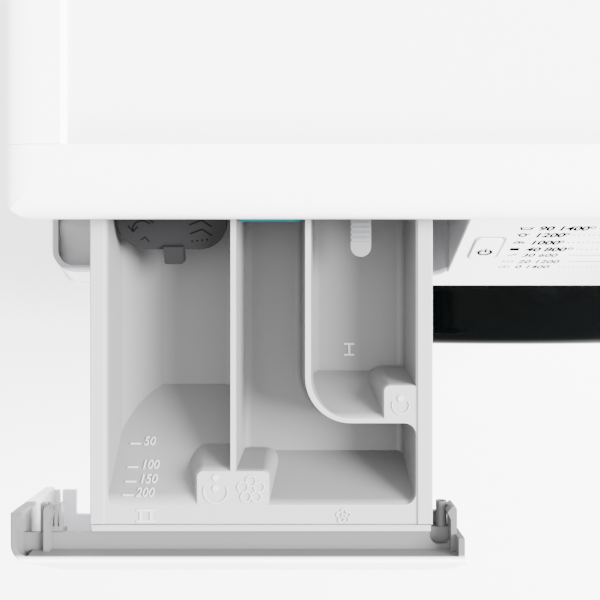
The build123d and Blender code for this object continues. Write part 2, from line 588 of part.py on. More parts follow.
def drawer_front():
    """Front of the drawer: leaning face, left return that wraps the corner, inner shelf, clips and peg."""
    low, top = DRAWER_FRONT_LOW_Z, PANEL_TOP_Z
    left, right = DRAWER_FRONT_L_X, DRAWER_FRONT_R_X
    wing_rear = -302.6
    outer = leaning_prism(0, low, top, wing_rear, left, right)
    outer = fillet(left_front_corner(outer, left), 9)
    rim = [e for e in outer.edges() if e.center().Z > top - 0.1 and e.center().Y < wing_rear - 5]
    outer = fillet(rim, 1.2)
    deep = PANEL_T / TILT_C
    inner = leaning_prism(deep, low + 3, top + 1, wing_rear + 1, left + PANEL_T, right - PANEL_T - 2)
    inner = fillet(left_front_corner(inner, left + PANEL_T), 6)
    front = outer - inner
    front -= block(left + 6, right + 1, -320, wing_rear + 10, low - 1, low + 4)
    front -= block(right - 8, right + 1, -315, wing_rear + 10, low - 1, top + 1)
    # The face stands past the right end wall; the left wing's lower rear corner is rounded off.
    front -= leaning_prism(deep - 0.8, low - 1, top + 1, wing_rear + 10, right - 2, right + 1)
    r = 10.0
    front -= block(left - 1, left + 8, wing_rear - r, wing_rear + 1, low - 1, low + r) - rod_x(
        r, left - 2, left + 9, wing_rear - r, low + r
    )
    front += block(left + 1, left + 5, wing_rear - 1.8, wing_rear, low + r, top - 2)
    front += block(-292.6, -284.7, -321, -305.8, low, low + 2.5)
    front += block(-293.2, -276.0, -331, -319.7, low, low + 2.5)

    shelf_z, shelf_t, shelf_rear = 827.4, 2.2, -313.9
    shelf = block(left + 2, right - 4, face_y(shelf_z) + 2, shelf_rear, shelf_z - shelf_t, shelf_z)
    for x0, x1 in ((left - 1, TRAY_L_X - 0.5), (TRAY_R_X + 0.5, right + 1)):
        shelf -= block(x0, x1, shelf_rear - 1.2, shelf_rear + 5, shelf_z - 8, shelf_z + 3)
    notch = fillet(rect_between(-91.2, -79.8, -321.2, -310).vertices().group_by(Axis.Y)[0], 5)
    front += shelf - extrude(Plane.XY.offset(shelf_z - 8) * notch, 12)
    # Upright wall between the shelf and the upper rim.
    front += prism_x(
        [
            (-323.4, shelf_z - shelf_t),
            (-324.2, top - 0.3),
            (face_y(top) + 1.4, top - 0.3),
            (face_y(shelf_z) + 1.2, shelf_z - shelf_t),
        ],
        left + 8,
        right - 3,
    )

    # Left side: slotted clip tower. Right side: hollow peg. A snap hook stands beside each.
    tower = block(-289, -278.4, -315.2, -300.9, 821.5, 826)
    for x in (-287.6, -285.2, -282.8, -280.4):
        tower -= block(x, x + 1.0, -312.5, -300, 820, 827)
    front += tower + block(-289, -278.4, -324, -315, 815, 826)
    front += snap_hook(-284.4, 1.0, -301.4, -324) + snap_hook(-79.4, -1.0, -301.0, -324)
    peg = rod_y(2.8, -314.5, -300.6, -84.1, 820) - rod_y(1.5, -306, -300, -84.1, 820)
    base = block(-90.5, -80, -324, -313.4, 813, 823) + block(-88.4, -84, -314, -306.8, 813, 817.4)
    return front + peg + base


def dispenser_housing():
    """Box that the tray slides into, with rails under the tray's flanges and an outlet below."""
    y0, y1 = POCKET_BACK_Y + 0.3, 104.0
    shell = block(-268, -85, y0, y1, 768, 834.6) - block(-264, -88.8, y0 - 1, y1 - 3, 774, 832)
    shell += block(-264.5, -259.6, y0, y1 - 3, 774, 826.2) + block(-93.4, -88.5, y0, y1 - 3, 774, 826.2)
    bezel = block(-297, POCKET_R_X + 2, y0, y0 + 2.7, 757, 833.6)
    shell += bezel - block(-264, -88.8, y0, y1 - 3, 774, 832)
    spout = rod_z(16, 752, 770, HOSE_X, HOSE_Y)
    return shell + spout - rod_z(13, 750, 775, HOSE_X, HOSE_Y)


# ---- tub, drum and drive ------------------------------------------------------------------------


def tub_front():
    """Front half of the plastic tub: neck, ribbed wall, sump spigot and joint flange."""
    shell = turned(
        [
            (172, -140), (176, -140), (176, TUB_FRONT_Y), (TUB_R, TUB_FRONT_Y), (TUB_R, 52), (270, 52),
            (270, TUB_JOIN_Y), (258, TUB_JOIN_Y), (258, -110), (172, -110),
        ]
    )
    spigot_z = AXIS_Z - math.sqrt(258**2 - SUMP_X**2)
    shell += rod_z(20, 162, spigot_z + 4, SUMP_X, SUMP_Y)
    shell -= rod_z(17, 160, spigot_z + 12, SUMP_X, SUMP_Y)
    for x in (-HEATER_X, HEATER_X):
        shell -= rod_y(5.2, -120, -105, x, HEATER_Z)
    return shell


def tub_rear():
    """Rear half of the tub: ribbed back, bearing hub, spring lugs and motor bracket."""
    y0 = TUB_JOIN_Y
    shell = turned(
        [
            (258, y0), (270, y0), (270, 68), (TUB_R, 68), (TUB_R, TUB_REAR_Y), (46, TUB_REAR_Y), (42, 288),
            (31, 288), (31, 270), (25, 270), (25, 254), (31, 254), (31, 231), (258, 231),
        ]
    )
    for i in range(12):
        rib = block(44, 258, TUB_REAR_Y - 0.5, TUB_REAR_Y + 16, -3, 3)
        shell += Pos(0, 0, AXIS_Z) * Rot(0, i * 30, 0) * rib
    for sign in (-1, 1):
        x = sign * SPRING_X
        shell += block(x - 11, x + 11, HANGER_Y - 6, HANGER_Y + 6, 612, 662) - rod_y(TUB_R - 2, 100, 200)
    shell += rod_z(16, 590, 688, HOSE_X, HOSE_Y) - rod_y(TUB_R - 2, 60, 200)
    return shell - rod_z(13, 580, 690, HOSE_X, HOSE_Y)


def heating_element():
    """U-shaped heating rod in the bottom of the tub, with its rubber plug and terminals."""
    loop = FilletPolyline(
        (-HEATER_X, -118, HEATER_Z),
        (-HEATER_X, 150, HEATER_Z),
        (HEATER_X, 150, HEATER_Z),
        (HEATER_X, -118, HEATER_Z),
        radius=18,
    )
    rod = sweep(Plane(origin=loop @ 0, z_dir=loop % 0) * Circle(HEATER_R), path=loop)
    plug = Pos(0, -116.2, HEATER_Z) * Rot(90, 0, 0) * extrude(RectangleRounded(74, 20, 8), 4, both=True)
    plug -= block(-60, 60, -114, -100, HEATER_Z - 20, HEATER_Z + 20)
    tabs = block(-31, -21, -126, -118, HEATER_Z - 0.4, HEATER_Z + 0.4)
    tabs += block(21, 31, -126, -118, HEATER_Z - 0.4, HEATER_Z + 0.4)
    return rod + plug + tabs


def front_counterweight():
    """Cast weight that arches over the door opening on the tub's front."""
    ring = turned([(188, -147), (256, -147), (256, TUB_FRONT_Y - 0.2), (188, TUB_FRONT_Y - 0.2)])
    ring -= block(-270, 270, -160, -100, 100, AXIS_Z - 70)
    for angle in (20, 90, 160):
        x, z = 222 * math.cos(math.radians(angle)), 222 * math.sin(math.radians(angle))
        ring -= rod_y(9, -160, -140, x, AXIS_Z + z)
    return ring


def dispenser_hose():
    """Rubber hose from the dispenser's outlet down to the inlet spigot on the tub."""
    hose = rod_z(19, 664, 766, HOSE_X, HOSE_Y)
    for i in range(6):
        hose += rod_z(22, 690 + i * 9, 694 + i * 9, HOSE_X, HOSE_Y)
    return hose - rod_z(16.4, 663, 767, HOSE_X, HOSE_Y)


def drum_shell():
    """Stainless drum: rolled front lip, beaded wall and back plate."""
    t = 1.4
    rim = 176.0
    shell = turned(
        [
            (rim, -97), (DRUM_R, -97), (DRUM_R, 206), (40, 206), (40, 206 - t), (DRUM_R - t, 206 - t),
            (DRUM_R - t, -97 + t), (rim + 3, -97 + t), (rim + 3, -92), (rim, -92),
        ]
    )
    return shell


def drum_lifters():
    """Three moulded lifters inside the drum."""
    seat = DRUM_R - 1.6
    low = seat - 6
    outline = Polyline((-32, low), (-24, 204), (-8, 190), (8, 190), (24, 204), (32, low), close=True)
    fin = extrude(Plane.XZ * make_face(outline), 120, both=True)
    fin = chamfer(fin.edges().group_by(Axis.Y)[0] + fin.edges().group_by(Axis.Y)[-1], 2)
    return [Pos(0, 54, AXIS_Z) * Rot(0, i * 120 + 60, 0) * fin for i in range(3)]


def drum_spider():
    """Three-armed cast cross with the drum shaft."""
    cross = rod_y(39, 206.2, 226)
    for i in range(3):
        arm = block(0, 222, 207, 219, -15, 15) + block(205, 228, 207, 222, -26, 26)
        cross += Pos(0, 0, AXIS_Z) * Rot(0, i * 120 + 30, 0) * arm
    return cross + rod_y(SHAFT_R, 226, 320)


def drum_pulley():
    """Spoked pulley on the end of the drum shaft."""
    rim = ring_y(PULLEY_R - 7, PULLEY_R, BELT_Y0 - 2, BELT_Y1 + 2)
    rim += ring_y(SHAFT_R, 28, BELT_Y0 - 2, BELT_Y1 + 2)
    for i in range(6):
        spoke = block(26, PULLEY_R - 5, 299, 307, -9, 9)
        rim += Pos(0, 0, AXIS_Z) * Rot(0, i * 60, 0) * spoke
    return rim


def motor_casing():
    """Motor body under the tub, with cooling ribs, end bells and the arms that hold it to the tub."""
    body = ring_y(52, 58, 150, 262, MOTOR_X, MOTOR_Z)
    body += rod_y(60, 148, 156, MOTOR_X, MOTOR_Z) + rod_y(60, 256, 264, MOTOR_X, MOTOR_Z)
    body -= rod_y(8.5, 140, 270, MOTOR_X, MOTOR_Z)
    for i in range(5):
        body += ring_y(57, 61, 170 + 18 * i, 176 + 18 * i, MOTOR_X, MOTOR_Z)
    arms = block(MOTOR_X - 50, MOTOR_X - 34, 150, 262, 118, 215)
    arms += block(MOTOR_X + 34, MOTOR_X + 50, 150, 262, 118, 200)
    arms -= rod_y(TUB_R + 0.2, 100, 300)
    arms -= rod_y(57, 140, 270, MOTOR_X, MOTOR_Z)
    return body + arms


def motor_rotor():
    """Rotor, shaft and small belt pulley."""
    core = rod_y(40, 172, 240, MOTOR_X, MOTOR_Z) + rod_y(8, 140, 318, MOTOR_X, MOTOR_Z)
    return core + rod_y(MOTOR_PULLEY_R, BELT_Y0 - 1, BELT_Y1 + 1, MOTOR_X, MOTOR_Z)


def belt_loop(extra):
    """Outline of a belt run round both pulleys, extra mm outside their faces."""
    dx, dz = MOTOR_X, MOTOR_Z - AXIS_Z
    span = math.hypot(dx, dz)
    big, small = PULLEY_R + extra, MOTOR_PULLEY_R + extra
    lean = math.atan2(dz, dx)
    spread = math.acos((big - small) / span)
    shape = Circle(big) + Pos(dx, dz) * Circle(small)
    corners = []
    for sign in (1, -1):
        a = lean + sign * spread
        corners.append((big * math.cos(a), big * math.sin(a)))
        corners.append((dx + small * math.cos(a), dz + small * math.sin(a)))
    quad = Polyline(corners[0], corners[1], corners[3], corners[2], close=True)
    return shape + make_face(quad)


def drive_belt():
    """Ribbed belt between the motor and the drum pulley."""
    face = belt_loop(3.4) - belt_loop(0.4)
    plane = Plane(origin=(0, BELT_Y1, AXIS_Z), x_dir=(1, 0, 0), z_dir=(0, -1, 0))
    return extrude(plane * face, BELT_Y1 - BELT_Y0)


def drum_bearings():
    """Two ball-bearing outlines pressed into the hub."""
    return [ring_y(15.0, 31.0, 238, 253.8), ring_y(15.0, 31.0, 270.2, 286)]


def suspension_springs():
    """Coil springs that hang the tub from the side panels, each between two hooked end plugs."""
    z0, z1, turns = 680.0, 792.0, 16
    pitch = (z1 - z0) / turns
    made = []
    for sign in (-1, 1):
        spring = rod_z(9, z0 - 6, z0 + 4) + rod_z(9, z1 - 4, z1 + 6) + rod_z(1.5, z0, z1)
        spring += rod_z(3, 662.2, z0) + rod_z(3, z1, HANGER_Z - 0.2)
        for i in range(turns + 1):
            spring += Pos(0, 0, z0 + i * pitch) * Torus(12, 2.0)
            spring += Pos(0, 0, z0 + i * pitch) * Box(24, 2, 2)
        made.append(Pos(sign * SPRING_X, HANGER_Y, 0) * spring)
    return made


def dampers():
    """Friction dampers: cylinders on the base, rods on the tub."""
    cylinders, rods = [], []
    tub_low = AXIS_Z - math.sqrt(TUB_R**2 - DAMPER_X**2)
    for x in (-DAMPER_X, DAMPER_X):
        tube = rod_z(14, DAMPER_LOW_Z, 135, x, DAMPER_Y) - rod_z(10.6, DAMPER_LOW_Z + 6, 136, x, DAMPER_Y)
        cylinders.append(tube)
        rod = rod_z(10.2, 78, 100, x, DAMPER_Y) + rod_z(5, 100, tub_low - 12, x, DAMPER_Y)
        eye = block(x - 11, x + 11, DAMPER_Y - 9, DAMPER_Y + 9, tub_low - 22, tub_low + 25)
        rods.append(rod + (eye - rod_y(TUB_R + 0.3, -20, 90)))
    return cylinders, rods


# ---- door ---------------------------------------------------------------------------------------
def door_ring():
    """Black outer ring: skirt, rounded front bevel, dished face and inner lip, notched for the hinge."""
    outline = Polyline(
        (DOOR_R, DOOR_BACK_Y), (DOOR_R, DOOR_FRONT_Y), (176, DOOR_FRONT_Y), (164, -222), (160, -214),
        (160, -206.2), (163, -206.2), (163, -213), (166.5, -219.6), (177, -225.4), (232, -225.4),
        (232, DOOR_BACK_Y), close=True,
    )
    face = make_face(outline)
    outer = face.vertices().sort_by_distance((DOOR_R, DOOR_FRONT_Y))[0]
    face = fillet(outer, BEVEL_R)
    inner = face.vertices().sort_by_distance((232, -225.4))[0]
    face = fillet(inner, BEVEL_R - 3)
    for near, radius in (((176, DOOR_FRONT_Y), 14.0), ((164, -222), 5.0), ((177, -225.4), 11.0)):
        face = fillet(face.vertices().sort_by_distance(near)[0], radius)
    ring = Pos(0, 0, AXIS_Z) * revolve(Plane.XY * face, Axis.Y)
    return ring - block(-240, -214, -219, DOOR_BACK_Y + 1, AXIS_Z - 46, AXIS_Z + 46)


def door_inner_frame():
    """Grey inner ring that clamps the glass and carries the hook and hinge arm."""
    ring = turned([(158, -201), (208, -201), (208, -190), (203, -185.5), (163, -185.5), (158, -189)])
    ring -= block(197.5, 209, -202, -180, AXIS_Z - 15, AXIS_Z + 15)
    return ring


def door_glass():
    """Glass bowl that reaches into the loading hole."""
    return turned(
        [
            (0, -84), (95, -88), (116, -97), (150, -201), (170, -201), (170, -206), (146.5, -206), (112.5, -101),
            (93, -92.2), (0, -88.2),
        ]
    )


def hinge_parts():
    """Fixed bracket with its pin on the steel front, and the arm on the door."""
    ears = [(402.0, 408.0), (472.0, 478.0)]
    bracket = block(-234, -206, -180, FRONT_Y, 398, 482)
    for z0, z1 in ears:
        ear = block(HINGE_X - 5, HINGE_X + 5, HINGE_Y, -179, z0, z1) + rod_z(5, z0, z1, HINGE_X, HINGE_Y)
        bracket += ear
    bracket += rod_z(3.0, 402, 478, HINGE_X, HINGE_Y)
    arm = rod_z(5.5, 410, 470, HINGE_X, HINGE_Y) + block(HINGE_X, -186, -204.2, -201, 412, 468)
    arm -= rod_z(3.06, 400, 480, HINGE_X, HINGE_Y)
    return bracket, arm


def door_hook():
    """Sprung latch hook on the door."""
    hook = rod_z(4.5, AXIS_Z - 12, AXIS_Z + 12, HOOK_X, HOOK_Y)
    outline = Polyline(
        (202, -194), (207, -194), (207, -172), (212, -166), (210, -162), (204, -160), (202, -164), close=True
    )
    hook += extrude(Plane.XY.offset(AXIS_Z - 8) * make_face(outline), 16)
    return hook


def door_lock():
    """Lock body behind the steel front, hollow where the hook enters."""
    body = block(188, 228, -176.6, -151, 402, 478)
    return body - block(197, 217, -178, -155, 424, 456)


def door_gasket():
    """Rubber bellows between the loading hole and the tub's neck."""
    return turned(
        [
            (157, -174), (160, -174), (160, -166), (176, -166), (176, -163.5), (184, -163.5), (188, -160),
            (188, -152), (184, -148), (179.2, -148), (179.2, -124), (176.2, -124), (176.2, -151),
            (183, -151), (185, -153), (185, -159), (183, -160.8), (157, -160.8),
        ]
    )


# ---- water and mains ----------------------------------------------------------------------------
def inlet_valve():
    """Water inlet valve, with its threaded stub and coil, and the fill hose to the dispenser."""
    body = block(VALVE_X - 18, VALVE_X + 18, 300, 346.6, VALVE_Z - 16, VALVE_Z + 16)
    body += rod_y(13.2, 346, 352.4, VALVE_X, VALVE_Z) - rod_y(9, 348, 354, VALVE_X, VALVE_Z)
    body += rod_z(13, VALVE_Z - 46, VALVE_Z - 15, VALVE_X, 318)
    fill_hose = rod_y(9, 104.3, 300, VALVE_X, VALVE_Z) - rod_y(6, 104, 301, VALVE_X, VALVE_Z)
    return body, fill_hose


def mains_gland():
    """Empty cable gland for the mains lead."""
    gland = rod_y(8.8, 344, 350, GLAND_X, GLAND_Z) + rod_y(12, 341, 346.6, GLAND_X, GLAND_Z)
    gland += rod_y(11.5, 348.25, 352.4, GLAND_X, GLAND_Z)
    return gland - rod_y(4.2, 340, 355, GLAND_X, GLAND_Z)


def drain_hose():
    """Inner drain hose, from the pump round the base to its spigot in the back panel."""
    spigot = rod_y(11.8, 340, 352.4, DRAIN_X, DRAIN_Z) + rod_y(18, 342, 346.6, DRAIN_X, DRAIN_Z)
    path = FilletPolyline(
        (PUMP_X + 34, PUMP_OUT_Y, PUMP_Z + 20),
        (DRAIN_HOSE_X, PUMP_OUT_Y, PUMP_Z + 20),
        (DRAIN_HOSE_X, DRAIN_HOSE_Y, PUMP_Z + 20),
        (DRAIN_X, DRAIN_HOSE_Y, PUMP_Z + 20),
        (DRAIN_X, DRAIN_HOSE_Y, DRAIN_Z),
        (DRAIN_X, 345, DRAIN_Z),
        radius=10,
    )
    hose = sweep(Plane(origin=path @ 0, z_dir=path % 0) * Circle(11), path=path)
    return spigot + hose - rod_y(8.5, 335, 355, DRAIN_X, DRAIN_Z)


def transit_caps():
    """Caps over the transit-bolt holes."""
    caps = []
    for x, z in TRANSIT_PLACES:
        cap = rod_y(TRANSIT_R - 0.3, 345, 351, x, z) + rod_y(19, 350.05, 352.4, x, z)
        caps.append(cap)
    return caps


def cabinet_screws():
    """Screws round the back panel."""
    screws = []
    for x in (-285.0, -95.0, 95.0, 285.0):
        for z in (75.0, 822.0):
            head = rod_y(5, 348.25, 351, x, z) - block(x - 4, x + 4, 349.8, 353, z - 0.6, z + 0.6)
            screws.append(head)
    return screws


def pump_housing():
    """Drain pump: filter chamber, spigots and motor can, on the base behind the flap."""
    body = ring_y(27.2, 33, -150, -66, PUMP_X, PUMP_Z) + rod_y(33, -66, -40, PUMP_X, PUMP_Z)
    body -= rod_y(22, -67, -46, PUMP_X, PUMP_Z)
    body += rod_x(17, PUMP_X - 60, PUMP_X - 30, SUMP_Y - 30, PUMP_Z)
    body -= rod_x(14, PUMP_X - 61, PUMP_X - 24, SUMP_Y - 30, PUMP_Z)
    body += block(PUMP_X - 26, PUMP_X + 26, -40, 14, PUMP_Z - 26, PUMP_Z + 26)
    body += block(PUMP_X - 30, PUMP_X + 30, -140, -60, 24.2, 45) - rod_y(28, -160, -50, PUMP_X, PUMP_Z)
    return body


def pump_impeller():
    """Four-bladed impeller in the pump chamber."""
    wheel = rod_y(6, -63, -47, PUMP_X, PUMP_Z)
    for i in range(4):
        wheel += Pos(PUMP_X, 0, PUMP_Z) * Rot(0, i * 90, 0) * block(4, 20, -62, -50, -1.2, 1.2)
    return wheel


def debris_filter():
    """Screw-in lint filter: basket with fingers, sealing disc and handled cap."""
    cap = rod_y(30, -158, -150.3, PUMP_X, PUMP_Z)
    handle = block(PUMP_X - 22, PUMP_X + 22, -168, -157, PUMP_Z - 4, PUMP_Z + 4)
    handle = fillet(handle.edges().filter_by(Axis.Z).group_by(Axis.Y)[0], 3)
    basket = rod_y(26.8, -151, -140, PUMP_X, PUMP_Z)
    for i in range(8):
        angle = math.radians(45 * i)
        basket += rod_y(2.4, -141, -72, PUMP_X + 22 * math.cos(angle), PUMP_Z + 22 * math.sin(angle))
    return cap + handle + basket + ring_y(19.5, 24.5, -76, -71, PUMP_X, PUMP_Z)


def sump_hose():
    """Moulded hose from the tub's sump to the filter chamber."""
    y = SUMP_Y
    path = FilletPolyline(
        (SUMP_X, y, 184),
        (SUMP_X, y, 130),
        (SUMP_X, y - 30, PUMP_Z),
        (PUMP_X - 42, y - 30, PUMP_Z),
        radius=24,
    )
    plane = Plane(origin=path @ 0, z_dir=path % 0)
    return sweep(plane * (Circle(23) - Circle(20.1)), path=path)


# ---- build --------------------------------------------------------------------------------------
def build_case():
    node("left_side_panel", side_panel(-1, PANEL_BACK_Y + 11))
    node("right_side_panel", side_panel(1, PANEL_BACK_Y + 0.5))
    node("back_panel", back_panel())
    node("base_tray", base_tray())
    node("front_panel", front_panel())
    node("plinth", plinth())
    node("filter_flap", filter_flap())
    node("front_foot_left", foot(-FOOT_X, FOOT_FRONT_Y))
    node("front_foot_right", foot(FOOT_X, FOOT_FRONT_Y))
    node("rear_feet", foot(-FOOT_X, FOOT_REAR_Y), foot(FOOT_X, FOOT_REAR_Y))
    worktop()


def build_controls():
    node("control_panel", control_panel())
    node("display_window", on_panel(DISPLAY_X, 8, -2.4) * rounded_plate(96, 40, 4, 2.5))
    node("control_board", control_board())
    node("program_knob", program_knob())
    node("power_button", key(POWER_X, POWER_V, KEY_W, KEY_H, 0.9))
    node("start_button", key(START_X, 0, KEY_W, KEY_H, 0.9))
    for i, x in enumerate(OPTION_XS, 1):
        node(f"option_key_{i}", key(x, OPTION_V, 22, 9, 0.5))


def build_drawer():
    node("drawer_tray", drawer_tray())
    node("drawer_front", drawer_front())
    node("siphon_cap", siphon_cap())
    node("liquid_flap", liquid_flap())
    node("release_lever", release_lever())
    node("dispenser_housing", dispenser_housing())


def build_drive():
    node("tub_front", tub_front())
    node("tub_rear", tub_rear())
    node("heating_element", heating_element())
    node("front_counterweight", front_counterweight())
    node("dispenser_hose", dispenser_hose())
    node("drum_shell", drum_shell())
    node("drum_lifters", *drum_lifters())
    node("drum_spider", drum_spider())
    node("drum_pulley", drum_pulley())
    node("drum_bearings", *drum_bearings())
    node("motor_casing", motor_casing())
    node("motor_rotor", motor_rotor())
    node("drive_belt", drive_belt())
    node("suspension_springs", *suspension_springs())
    cylinders, rods = dampers()
    node("damper_cylinders", *cylinders)
    node("damper_rods", *rods)


def build_door():
    node("door_ring", door_ring())
    node("door_inner_frame", door_inner_frame())
    node("door_glass", door_glass())
    bracket, arm = hinge_parts()
    node("door_hinge_bracket", bracket)
    node("door_hinge_arm", arm)
    node("door_hook", door_hook())
    node("door_lock", door_lock())
    node("door_gasket", door_gasket())


def build_services():
    node("inlet_valve", *inlet_valve())
    node("mains_gland", mains_gland())
    node("drain_hose", drain_hose())
    node("transit_caps", *transit_caps())
    node("cabinet_screws", *cabinet_screws())
    node("pump_housing", pump_housing())
    node("pump_impeller", pump_impeller())
    node("debris_filter", debris_filter())
    node("sump_hose", sump_hose())


os.makedirs(OUT, exist_ok=True)
for step in (build_case, build_controls, build_drawer, build_drive, build_door, build_services):
    step()
for name, shape in NODES.items():
    export_step(shape, f"{OUT}/{name}.step")
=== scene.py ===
"""Looks of a front load washing machine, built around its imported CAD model.

Blender works in metres. Pieces drawn here give their measures in millimetres and are scaled by MM.
"""

import json
import math

import bpy
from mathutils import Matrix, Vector


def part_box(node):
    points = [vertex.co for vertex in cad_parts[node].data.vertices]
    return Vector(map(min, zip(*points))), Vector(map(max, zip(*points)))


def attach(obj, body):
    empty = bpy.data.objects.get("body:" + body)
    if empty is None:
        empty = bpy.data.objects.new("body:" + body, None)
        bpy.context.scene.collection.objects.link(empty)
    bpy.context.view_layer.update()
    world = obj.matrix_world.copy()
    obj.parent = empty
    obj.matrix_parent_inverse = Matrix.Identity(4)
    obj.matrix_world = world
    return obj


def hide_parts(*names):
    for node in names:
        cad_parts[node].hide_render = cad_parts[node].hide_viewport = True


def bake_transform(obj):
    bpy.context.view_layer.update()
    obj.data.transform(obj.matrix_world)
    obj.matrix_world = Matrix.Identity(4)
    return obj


MM = 0.001
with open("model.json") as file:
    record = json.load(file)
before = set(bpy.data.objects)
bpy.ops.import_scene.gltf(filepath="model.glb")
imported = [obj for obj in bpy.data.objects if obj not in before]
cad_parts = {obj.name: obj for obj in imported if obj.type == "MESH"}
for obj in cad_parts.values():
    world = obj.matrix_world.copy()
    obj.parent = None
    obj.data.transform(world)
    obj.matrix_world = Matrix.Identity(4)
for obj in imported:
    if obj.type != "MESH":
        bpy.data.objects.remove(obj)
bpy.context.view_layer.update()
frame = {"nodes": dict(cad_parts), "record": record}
nodes = frame["nodes"]

# ---- camera: straight down over the front left corner of the worktop -----------------------------
camera_data = bpy.data.cameras.new("camera")
camera_data.lens = 50.0
camera_data.sensor_width = 36.0
camera_data.clip_start = 0.01
camera = bpy.data.objects.new("camera", camera_data)
camera.location = (-0.1569, -0.1973, 1.250)
bpy.context.scene.collection.objects.link(camera)
bpy.context.scene.camera = camera


# ---- materials -----------------------------------------------------------------------------------
def srgb(text):
    """A hex colour as a linear RGBA tuple."""
    parts = [int(text[i : i + 2], 16) / 255 for i in (0, 2, 4)]
    return tuple(c / 12.92 if c <= 0.04045 else ((c + 0.055) / 1.055) ** 2.4 for c in parts) + (1.0,)


def surface(
    name,
    colour,
    rough=0.35,
    metal=0.0,
    gloss=0.5,
    grain=2500.0,
    bump=0.06,
    mottle=0.02,
    coat=0.0,
    stretch=(1, 1, 1),
    painted_shade=None,
):
    """Principled material with a fine grain in its relief, and a slow drift in its colour and roughness.

    The optional second colour is painted shade, followed by one or more of (direction, near, far): the first
    colour gives way to it between those distances in metres along the direction, where every direction
    agrees, so that the colour darkens where shade would fall.
    """
    mat = bpy.data.materials.new(name)
    mat.use_nodes = True
    tree = mat.node_tree
    new, link = tree.nodes.new, tree.links.new
    shader = tree.nodes["Principled BSDF"]
    shader.inputs["Metallic"].default_value = metal
    shader.inputs["Specular IOR Level"].default_value = gloss
    shader.inputs["Coat Weight"].default_value = coat
    shader.inputs["Coat Roughness"].default_value = 0.06
    place = new("ShaderNodeTexCoord")
    scale = new("ShaderNodeMapping")
    scale.inputs["Scale"].default_value = stretch
    link(place.outputs["Object"], scale.inputs["Vector"])

    fine = new("ShaderNodeTexNoise")
    fine.inputs["Scale"].default_value = grain
    fine.inputs["Detail"].default_value = 3.0
    link(scale.outputs["Vector"], fine.inputs["Vector"])
    relief = new("ShaderNodeBump")
    relief.inputs["Strength"].default_value = bump
    relief.inputs["Distance"].default_value = 0.0004
    link(fine.outputs["Fac"], relief.inputs["Height"])
    link(relief.outputs["Normal"], shader.inputs["Normal"])

    slow = new("ShaderNodeTexNoise")
    slow.inputs["Scale"].default_value = 14.0
    slow.inputs["Detail"].default_value = 4.0
    link(place.outputs["Object"], slow.inputs["Vector"])
    tint = new("ShaderNodeMix")
    tint.data_type = "RGBA"
    base = srgb(colour)
    tint.inputs["A"].default_value = tuple(c * (1 - mottle) for c in base[:3]) + (1,)
    tint.inputs["B"].default_value = tuple(min(1, c * (1 + mottle)) for c in base[:3]) + (1,)
    link(slow.outputs["Fac"], tint.inputs["Factor"])
    # Painted shade: the base colour darkens by position towards recesses and hidden sides.
    if painted_shade:
        shade_share = None
        for direction, near, far in painted_shade[1:]:
            along = new("ShaderNodeVectorMath")
            along.operation = "DOT_PRODUCT"
            along.inputs[1].default_value = direction
            link(place.outputs["Object"], along.inputs[0])
            reach = new("ShaderNodeMapRange")
            reach.inputs["From Min"].default_value = near
            reach.inputs["From Max"].default_value = far
            link(along.outputs["Value"], reach.inputs["Value"])
            if shade_share:
                both = new("ShaderNodeMath")
                both.operation = "MULTIPLY"
                link(shade_share, both.inputs[0])
                link(reach.outputs["Result"], both.inputs[1])
                shade_share = both.outputs["Value"]
            else:
                shade_share = reach.outputs["Result"]
        shade_fade = new("ShaderNodeMix")
        shade_fade.data_type = "RGBA"
        shade_fade.inputs["B"].default_value = srgb(painted_shade[0])
        link(shade_share, shade_fade.inputs["Factor"])
        link(tint.outputs["Result"], shade_fade.inputs["A"])
        tint = shade_fade
    link(tint.outputs["Result"], shader.inputs["Base Color"])

    spread = new("ShaderNodeMapRange")
    spread.inputs["To Min"].default_value = max(0.02, rough - 0.05)
    spread.inputs["To Max"].default_value = min(1.0, rough + 0.05)
    link(slow.outputs["Fac"], spread.inputs["Value"])
    link(spread.outputs["Result"], shader.inputs["Roughness"])
    return mat


def glass_surface():
    """Clear glass, a little grey."""
    mat = surface("door_glass", "9aa2a4", rough=0.06, gloss=0.2, bump=0.01, mottle=0.005)
    shader = mat.node_tree.nodes["Principled BSDF"]
    shader.inputs["Transmission Weight"].default_value = 0.92
    shader.inputs["IOR"].default_value = 1.5
    return mat


def brushed(name, colour, rough):
    """Steel with lines that run round the drum's axis."""
    mat = surface(name, colour, rough=rough, metal=1.0, bump=0.10, mottle=0.03, stretch=(0.04, 1, 0.04))
    mat.node_tree.nodes["Principled BSDF"].inputs["Anisotropic"].default_value = 0.4
    return mat


PANEL_LEAN = math.radians(20.5)
PANEL_OUT = (0, -math.cos(PANEL_LEAN), math.sin(PANEL_LEAN))
